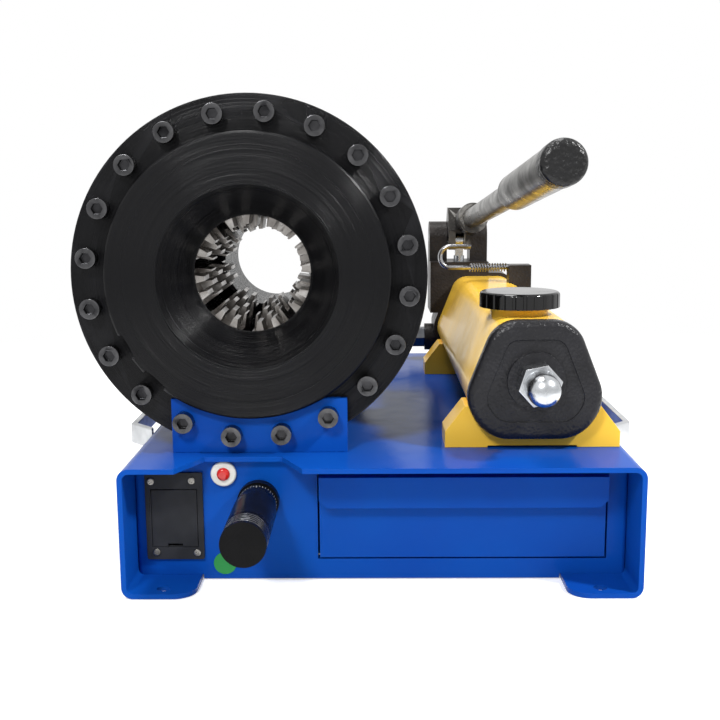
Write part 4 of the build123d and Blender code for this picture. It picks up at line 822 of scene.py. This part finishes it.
    def join(self, pieces: list[Piece], name: str) -> Piece:
        """Join pieces into one.

        Args:
            pieces: Objects to join.
            name: Name of the whole.

        Returns:
            The first of them, which holds them all.
        """
        self.deselect()
        for piece in pieces:
            piece.select_set(True)
        bpy.context.view_layer.objects.active = pieces[0]
        bpy.ops.object.join()
        pieces[0].name = name
        return pieces[0]

    @staticmethod
    def placed_copy(piece: Piece, place: Matrix, name: str) -> Piece:
        """Copy a piece with its own mesh.

        Args:
            piece: Object to copy.
            place: Matrix that moves the copy, and goes into its mesh.
            name: Name of the copy.

        Returns:
            The copy.
        """
        mesh = piece.data.copy()
        mesh.transform(place)
        copy = bpy.data.objects.new(name, mesh)
        bpy.context.scene.collection.objects.link(copy)
        return copy

    def finish(
        self, piece: Piece, slot: Slot, carrier: str, replaces: tuple[str, ...] = (),
        look: Look | None = None,
    ) -> None:
        """Give a piece its material and join it to the machine.

        Args:
            piece: The finished object.
            slot: Its slot in the record.
            carrier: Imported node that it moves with.
            replaces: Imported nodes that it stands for.
            look: Finish that it shows instead of its slot's own.
        """
        piece.data.materials.clear()
        piece.data.materials.append(self.shelf[look or slot])
        body = self.body_of[carrier]
        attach(piece, body)
        if replaces:
            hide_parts(*replaces)

    def rounded_node(self, node: str, width: float, look: Look | None = None) -> None:
        """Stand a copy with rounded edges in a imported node's place.

        Args:
            node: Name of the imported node.
            width: Width of the rounding.
            look: Finish that it shows instead of its slot's own.
        """
        piece = self.merged_copy(node, f"{node}_skin")
        self.round_edges(piece, width)
        self.finish(piece, self.slot_of[node], node, (node,), look)
        LOG.info("rounded %s", node)

    def dress_nodes(self) -> None:
        """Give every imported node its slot's material, for those that stay as they are."""
        for node, piece in self.nodes.items():
            piece.data.materials.clear()
            piece.data.materials.append(self.shelf[self.slot_of[node]])


class RoundedPieces:
    """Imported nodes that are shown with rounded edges, the widths in millimetres."""

    widths: dict[str, float] = {}
    looks: dict[str, Look] = {}

    def __init__(self, bench: Bench) -> None:
        """Keep the bench.

        Args:
            bench: Tools that shape the pieces.
        """
        self.bench = bench

    def dress(self) -> None:
        """Round every piece."""
        for node, width in self.widths.items():
            self.bench.rounded_node(node, width * MM, self.looks.get(node))


class Shell(RoundedPieces):
    """Case, panels, drawer and brackets."""

    widths = {
        "case_shell": 0.8, "front_panel": 0.3, "rear_panel": 0.4, "drawer": 0.4,
        "head_bracket_front": 0.6, "head_bracket_rear": 0.6, "side_handle_left": 1.2,
        "side_handle_right": 1.2, "battery_holder": 0.4, "battery_lid": 0.3,
        "lamp_bezel": 0.3, "lamp_lens": 0.3,
    }
    looks = {"battery_holder": Look.MATTE, "battery_lid": Look.MATTE}


class Head(RoundedPieces):
    """Crimping head with its covers, screws and dies."""

    widths = {
        "front_cover": 0.8, "rear_cover": 0.8, "cylinder_barrel": 0.6,
        "cover_screws": 0.7, "bracket_screws": 0.7, "rear_screws": 0.7, "ring_piston": 0.5,
        **{f"die_{number}": 0.35 for number in range(1, DIES + 1)},
    }


class Pump(RoundedPieces):
    """Hand pump with its tank, lever and hook."""

    widths = {
        "pump_tank": 0.5, "pump_end_cap": 0.8, "tie_rod": 0.6, "pump_foot_front": 0.8,
        "pump_foot_rear": 0.8, "pump_head": 1.5, "pivot_pin": 0.6, "filler_cap": 0.6,
        "lever_socket": 1.0, "lever_tube": 0.4, "lever_grip": 0.6, "lever_plug": 0.8,
        "plunger": 0.5, "release_knob": 0.5, "hook_bracket": 0.8, "hold_hook": 0.2,
        "oil_pipe": 0.2, "pipe_fittings": 0.6,
    }
    looks = {
        "pump_head": Look.PUMP, "hook_bracket": Look.PUMP, "lever_socket": Look.FORGING,
        "lever_grip": Look.TUBE, "lever_tube": Look.TUBE, "filler_cap": Look.CAP,
    }


@dataclass
class PanelFittings:
    """Small screws, the dial's scale, bright rings that paint the highlights of the dial's grooves,
    and the green spot on the front panel.
    """

    bench: Bench
    holder: Extent = extent("battery_holder")
    panel: Extent = extent("front_panel")
    thimble: Extent = extent("dial_thimble")

    # Screws of the battery holder: X and Z from its middle in millimetres, and turn.
    screws: tuple[Point, ...] = (
        (-18.0, 29.0, 0.4), (14.5, 29.5, 1.1), (17.5, -30.0, 0.7), (-15.0, -29.5, 0.2),
    )
    screw_radius: float = 2.9 * MM
    screw_rise: float = 1.2 * MM
    screw_sides: int = 28
    screw_rounding: float = 0.55 * MM
    screw_steps: int = 3
    recess: Point = (3.4 * MM, 1.4 * MM, 1.1 * MM)

    # Green spot: X and Z of its centre.
    spot: tuple[float, float] = (-0.1255, 0.0135)
    spot_radius: float = 9.2 * MM
    spot_rise: float = 0.5 * MM
    spot_sides: int = 48
    spot_rounding: float = 0.15 * MM

    # Lines round the dial's sleeve, every fifth of them long.
    scale_gap: float = 11.5 * MM
    scale_radius: float = 15.2 * MM
    scale_lines: int = 40
    long_every: int = 5
    long_line: float = 5.0 * MM
    short_line: float = 2.6 * MM
    line_width: float = 0.35 * MM
    line_height: float = 0.3 * MM
    line_rounding: float = 0.05 * MM

    # Bright rings at the thimble's grooves, a painted highlight of their edges, counted from its
    # front end.
    grooves: int = 5
    groove_pitch: float = 3.6 * MM
    first_groove: float = 1.5
    groove_radius: float = 16.38 * MM
    groove_wire: float = 0.32 * MM
    groove_sides: int = 64
    groove_steps: int = 8

    def dress(self) -> None:
        """Make every fitting."""
        self._pan_screws()
        self._spot()
        self._scale()
        self._painted_highlight_rings()

    def _pan_screws(self) -> None:
        """Make the four cross head screws in the corners of the battery holder."""
        front = self.holder.low[1] - self.screw_rise
        screw = self.bench.disc(
            "pan_screw", self.screw_radius, self.screw_rise, (0.0, front, 0.0), self.screw_sides,
        )
        self.bench.round_edges(screw, self.screw_rounding, self.screw_steps)
        for turn in (0.0, QUARTER):
            cutter = self.bench.block("cross_recess", self.recess, (0.0, front, 0.0), turn)
            self.bench.cut(screw, cutter)
        middle_x, _, middle_z = self.holder.middle
        for number, (x, z, turn) in enumerate(self.screws, start=1):
            place = Matrix.Translation((middle_x + x * MM, 0.0, middle_z + z * MM))
            place = place @ Matrix.Rotation(turn, 4, "Y")
            copy = self.bench.placed_copy(screw, place, f"holder_screw_{number}")
            self.bench.finish(copy, Slot.STEEL, "battery_holder", look=Look.TUBE)
        bpy.data.objects.remove(screw)
        LOG.info("made the holder screws")

    def _spot(self) -> None:
        """Make the plain green disc low on the panel."""
        front = (self.spot[0], self.panel.low[1] - self.spot_rise, self.spot[1])
        disc = self.bench.disc(
            "green_spot", self.spot_radius, self.spot_rise, front, self.spot_sides,
        )
        self.bench.round_edges(disc, self.spot_rounding)
        self.bench.finish(disc, Slot.WHITE, "front_panel", look=Look.SPOT)
        LOG.info("made the green spot")

    def _scale(self) -> None:
        """Make the engraved and filled lines round the dial's sleeve."""
        axis_x, _, axis_z = self.thimble.middle
        start = self.panel.low[1] - self.scale_gap
        lines = []
        for step in range(self.scale_lines):
            turn = step * math.tau / self.scale_lines
            length = self.long_line if step % self.long_every == 0 else self.short_line
            centre = (
                axis_x + self.scale_radius * math.sin(turn), start - length / 2,
                axis_z + self.scale_radius * math.cos(turn),
            )
            size = (self.line_width, length, self.line_height)
            lines.append(self.bench.block(f"scale_line_{step}", size, centre, turn))
        scale = self.bench.join(lines, "dial_scale")
        self.bench.round_edges(scale, self.line_rounding, 1)
        self.bench.finish(scale, Slot.WHITE, "dial_sleeve")
        LOG.info("made the dial scale")

    def _painted_highlight_rings(self) -> None:
        """Make bright steel rings at the grooves round the dial's thimble, as a painted highlight
        of their edges.
        """
        axis_x, _, axis_z = self.thimble.middle
        rings = []
        for number in range(self.grooves):
            place = self.thimble.low[1] + (number + self.first_groove) * self.groove_pitch
            self.bench.deselect()
            bpy.ops.mesh.primitive_torus_add(
                location=(axis_x, place, axis_z), rotation=(QUARTER, 0.0, 0.0),
                major_segments=self.groove_sides, minor_segments=self.groove_steps,
                major_radius=self.groove_radius, minor_radius=self.groove_wire,
            )
            ring = bpy.context.active_object
            self.bench.settle(ring)
            rings.append(ring)
        # These bright rings go all round the thimble, a painted highlight where the grooves' edges
        # glint.
        bright = self.bench.join(rings, "dial_painted_highlight_rings")
        self.bench.activate(bright)
        bpy.ops.object.shade_smooth_by_angle(angle=SHADE_ANGLE)
        self.bench.finish(bright, Slot.STEEL, "dial_thimble")
        LOG.info("made the dial's bright rings")


@dataclass
class Springs:
    """Coil springs between the dies and on the hook's rod."""

    bench: Bench
    cover: Extent = extent("front_cover")
    sleeves: Extent = extent("die_spring_1")
    bracket: Extent = extent("hook_bracket")

    # Springs between the dies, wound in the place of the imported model's plain sleeves.
    die_spring: Winding = Winding(radius=3.4 * MM, wire=0.55 * MM, length=15.3 * MM, turns=6)
    first_die: float = math.radians(14.6)
    die_travel: float = 9.973 * MM
    seat_radius: float = 44.6 * MM
    sleeve_radius: float = 4.0 * MM
    seat_depth: float = 4.2 * MM

    # Spring on the hook's rod: its gap to the bracket, and its drop from the bracket's top.
    hook_spring: Winding = Winding(radius=4.0 * MM, wire=0.75 * MM, length=41.0 * MM, turns=14)
    hook_gap: float = 1.0 * MM
    hook_drop: float = 3.0 * MM

    def dress(self) -> None:
        """Wind every spring."""
        self._die_springs()
        self._hook_spring()

    def _die_springs(self) -> None:
        """Wind the pair of springs between each die and the next."""
        coil = self.bench.coil("coil", self.die_spring)
        axis_x, _, axis_z = self.cover.middle
        stations = (
            self.sleeves.low[1] + self.sleeve_radius, self.sleeves.high[1] - self.sleeve_radius,
        )
        for number in range(1, DIES + 1):
            angle = self.first_die + (number - 1) * math.tau / DIES
            outward = Vector((math.cos(angle), 0.0, math.sin(angle)))
            tilt = angle + math.pi / DIES
            spoke = Vector((math.cos(tilt), 0.0, math.sin(tilt)))
            facing = Vector((-math.sin(tilt), 0.0, math.cos(tilt)))
            turned = Matrix((spoke, facing.cross(spoke), facing)).transposed().to_4x4()
            pair = []
            for station in stations:
                centre = Vector((axis_x, station, axis_z)) + outward * self.die_travel
                centre += spoke * self.seat_radius - facing * self.seat_depth
                place = Matrix.Translation(centre) @ turned
                pair.append(self.bench.placed_copy(coil, place, f"coil_{number}"))
            spring = self.bench.join(pair, f"die_coils_{number}")
            node = f"die_spring_{number}"
            self.bench.finish(spring, Slot.SPRING, node, (node,))
        bpy.data.objects.remove(coil)
        LOG.info("wound the die springs")

    def _hook_spring(self) -> None:
        """Wind the spring that lies along the hook's rod, in front of its bracket."""
        coil = self.bench.coil("hook_coil", self.hook_spring)
        start = (
            self.bracket.low[0] - self.hook_gap - self.hook_spring.length, self.bracket.middle[1],
            self.bracket.high[2] - self.hook_drop,
        )
        place = Matrix.Translation(start) @ Matrix.Rotation(QUARTER, 4, "Y")
        spring = self.bench.placed_copy(coil, place, "hook_spring")
        bpy.data.objects.remove(coil)
        self.bench.finish(spring, Slot.SPRING, "hook_bracket")
        LOG.info("wound the hook spring")


@dataclass(frozen=True)
class Viewpoint:
    """Camera of the reference view, its angles in radians."""

    lens: float = 52.79
    sensor: float = 36.0
    clip: tuple[float, float] = (0.01, 50.0)
    place: Point = (-0.005786, -1.03762, 0.31547)
    pitch: float = 0.1673
    yaw: float = -0.0125
    roll: float = -0.0070

    def set_up(self) -> None:
        """Make the camera and give it to the scene."""
        data = bpy.data.cameras.new("Reference view")
        data.lens = self.lens
        data.sensor_width = self.sensor
        data.clip_start, data.clip_end = self.clip
        camera = bpy.data.objects.new("Reference camera", data)
        camera.matrix_world = Matrix.Translation(self.place) @ self._turn().to_4x4()
        bpy.context.scene.collection.objects.link(camera)
        bpy.context.scene.camera = camera

    def _turn(self) -> Matrix:
        """Return the camera's axes as the columns of a matrix."""
        level = Vector((math.cos(self.yaw), -math.sin(self.yaw), 0.0))
        ahead = Vector((math.sin(self.yaw), math.cos(self.yaw), 0.0)) * math.cos(self.pitch)
        ahead.z = -math.sin(self.pitch)
        upward = level.cross(ahead)
        right = level * math.cos(self.roll) + upward * math.sin(self.roll)
        upward = upward * math.cos(self.roll) - level * math.sin(self.roll)
        return Matrix((right, upward, -ahead)).transposed()


@dataclass(frozen=True)
class Softbox:
    """One studio lamp, its power in watts."""

    name: str
    place: Point
    size: tuple[float, float]
    power: float

    def hang(self, target: Point) -> None:
        """Hang the lamp and aim it.

        Args:
            target: Point that it shines at.
        """
        data = bpy.data.lights.new(self.name, "AREA")
        data.shape = "RECTANGLE"
        data.size, data.size_y = self.size
        data.energy = self.power
        lamp = bpy.data.objects.new(self.name, data)
        lamp.location = self.place
        aim = Vector(target) - Vector(self.place)
        lamp.rotation_euler = aim.to_track_quat("-Z", "Y").to_euler()
        bpy.context.scene.collection.objects.link(lamp)


@dataclass
class Studio:
    """Pale floor, white surround and soft lamps."""

    lamps: tuple[Softbox, ...] = (
        Softbox("Key softbox", (-0.5, -1.35, 1.25), (0.3, 0.3), 18.0),
        Softbox("Window softbox", (1.02, -0.70, 1.18), (0.12, 0.12), 22.0),
        Softbox("Top softbox", (-0.2, 0.1, 1.9), (0.9, 0.6), 20.0),
    )
    target: Point = (0.0, 0.0, 0.18)
    white: Color = (1.0, 1.0, 1.0, 1.0)
    surround: float = 0.5

    # Floor: how far its glow lifts it to white, where it fades into the surround, and
    # the half sizes of the stretch under the case, which stays dark.
    floor_size: float = 6.0
    floor_level: float = -0.4 * MM
    floor_color: Color = (0.82, 0.82, 0.82, 1.0)
    floor_lift: float = 0.42
    floor_fade: tuple[float, float] = (0.6, 1.3)
    covered: tuple[float, float] = (0.195, 0.168)

    def set_up(self) -> None:
        """Build the floor, the world and the lamps."""
        self._floor()
        self._world()
        for lamp in self.lamps:
            lamp.hang(self.target)
        bpy.context.scene.view_settings.view_transform = "Standard"

    @staticmethod
    def _seen(tree: Tree) -> Socket:
        """Tell the rays that show the studio from those that light the object.

        Args:
            tree: Tree that gets the nodes.

        Returns:
            Socket that is 1 for camera, glossy and transmission rays.
        """
        ray = tree.nodes.new("ShaderNodeLightPath").outputs
        shown = math_node(tree, "MAXIMUM", ray["Is Camera Ray"], ray["Is Glossy Ray"])
        return math_node(tree, "MAXIMUM", shown, ray["Is Transmission Ray"])

    @staticmethod
    def _mix(tree: Tree, share: Socket, first: Node, second: Node, output: str) -> None:
        """Mix two shaders and lead the result out of the tree.

        Args:
            tree: Tree that gets the nodes.
            share: Socket with the share of the second shader.
            first: Node of the first shader.
            second: Node of the second shader.
            output: Kind of the output node.
        """
        mix = tree.nodes.new("ShaderNodeMixShader")
        end = tree.nodes.new(output)
        tree.links.new(share, mix.inputs["Fac"])
        tree.links.new(first.outputs[0], mix.inputs[1])
        tree.links.new(second.outputs[0], mix.inputs[2])
        tree.links.new(mix.outputs[0], end.inputs["Surface"])

    def _outside(self, tree: Tree, place: Socket) -> Socket:
        """Tell the open floor from the stretch under the case.

        Args:
            tree: Tree that gets the nodes.
            place: Socket with the Object coordinates.

        Returns:
            Socket that is 0 under the case and 1 away from it.
        """
        split = tree.nodes.new("ShaderNodeSeparateXYZ")
        tree.links.new(place, split.inputs[0])
        sides = []
        for axis, reach in zip(("X", "Y"), self.covered):
            distance = math_node(tree, "ABSOLUTE", split.outputs[axis])
            sides.append(math_node(tree, "GREATER_THAN", distance, reach))
        return math_node(tree, "MAXIMUM", *sides)

    def _floor(self) -> None:
        """Lay a floor that looks white to the camera and keeps the shadow."""
        level = (0.0, 0.0, self.floor_level)
        bpy.ops.mesh.primitive_plane_add(size=self.floor_size, location=level)
        floor = bpy.context.active_object
        floor.name = "Studio_floor"
        material = bpy.data.materials.new("Pale floor")
        material.use_nodes = True
        tree = material.node_tree
        tree.nodes.clear()
        seen = self._seen(tree)
        place = tree.nodes.new("ShaderNodeTexCoord").outputs["Object"]

        diffuse = tree.nodes.new("ShaderNodeBsdfDiffuse")
        diffuse.inputs["Color"].default_value = self.floor_color
        glow = tree.nodes.new("ShaderNodeEmission")
        lift = math_node(tree, "MULTIPLY", seen, self.floor_lift)
        lift = math_node(tree, "MULTIPLY", lift, self._outside(tree, place))
        tree.links.new(lift, glow.inputs["Strength"])
        near = tree.nodes.new("ShaderNodeAddShader")
        tree.links.new(diffuse.outputs[0], near.inputs[0])
        tree.links.new(glow.outputs[0], near.inputs[1])

        distance = tree.nodes.new("ShaderNodeVectorMath")
        distance.operation = "LENGTH"
        tree.links.new(place, distance.inputs[0])
        fade = tree.nodes.new("ShaderNodeMapRange")
        for label, value in zip(("From Min", "From Max"), self.floor_fade):
            fade.inputs[label].default_value = value
        tree.links.new(distance.outputs["Value"], fade.inputs["Value"])
        share = math_node(tree, "MULTIPLY", fade.outputs["Result"], seen)
        far = tree.nodes.new("ShaderNodeEmission")
        self._mix(tree, share, near, far, "ShaderNodeOutputMaterial")
        floor.data.materials.append(material)

    def _world(self) -> None:
        """Set a surround that is white to the camera and plain grey light to the object."""
        world = bpy.data.worlds.new("Studio surround")
        bpy.context.scene.world = world
        world.use_nodes = True
        tree = world.node_tree
        tree.nodes.clear()
        backgrounds = []
        for strength in (self.surround, 1.0):
            background = tree.nodes.new("ShaderNodeBackground")
            background.inputs["Color"].default_value = self.white
            background.inputs["Strength"].default_value = strength
            backgrounds.append(background)
        self._mix(tree, self._seen(tree), *backgrounds, "ShaderNodeOutputWorld")


def main() -> None:
    """Dress the machine and set up its studio."""
    logging.basicConfig(level=logging.INFO, format="%(name)s: %(message)s")
    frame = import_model()
    Bench.deselect()
    shelf = FinishShelf(Extent.of("front_cover").middle)
    bench = Bench(frame, shelf)
    assemblies = (Shell(bench), Head(bench), Pump(bench), PanelFittings(bench), Springs(bench))
    bench.dress_nodes()
    for assembly in assemblies:
        assembly.dress()
        LOG.info("dressed %s", type(assembly).__name__)
    Studio().set_up()
    Viewpoint().set_up()


if __name__ == "__main__":
    main()
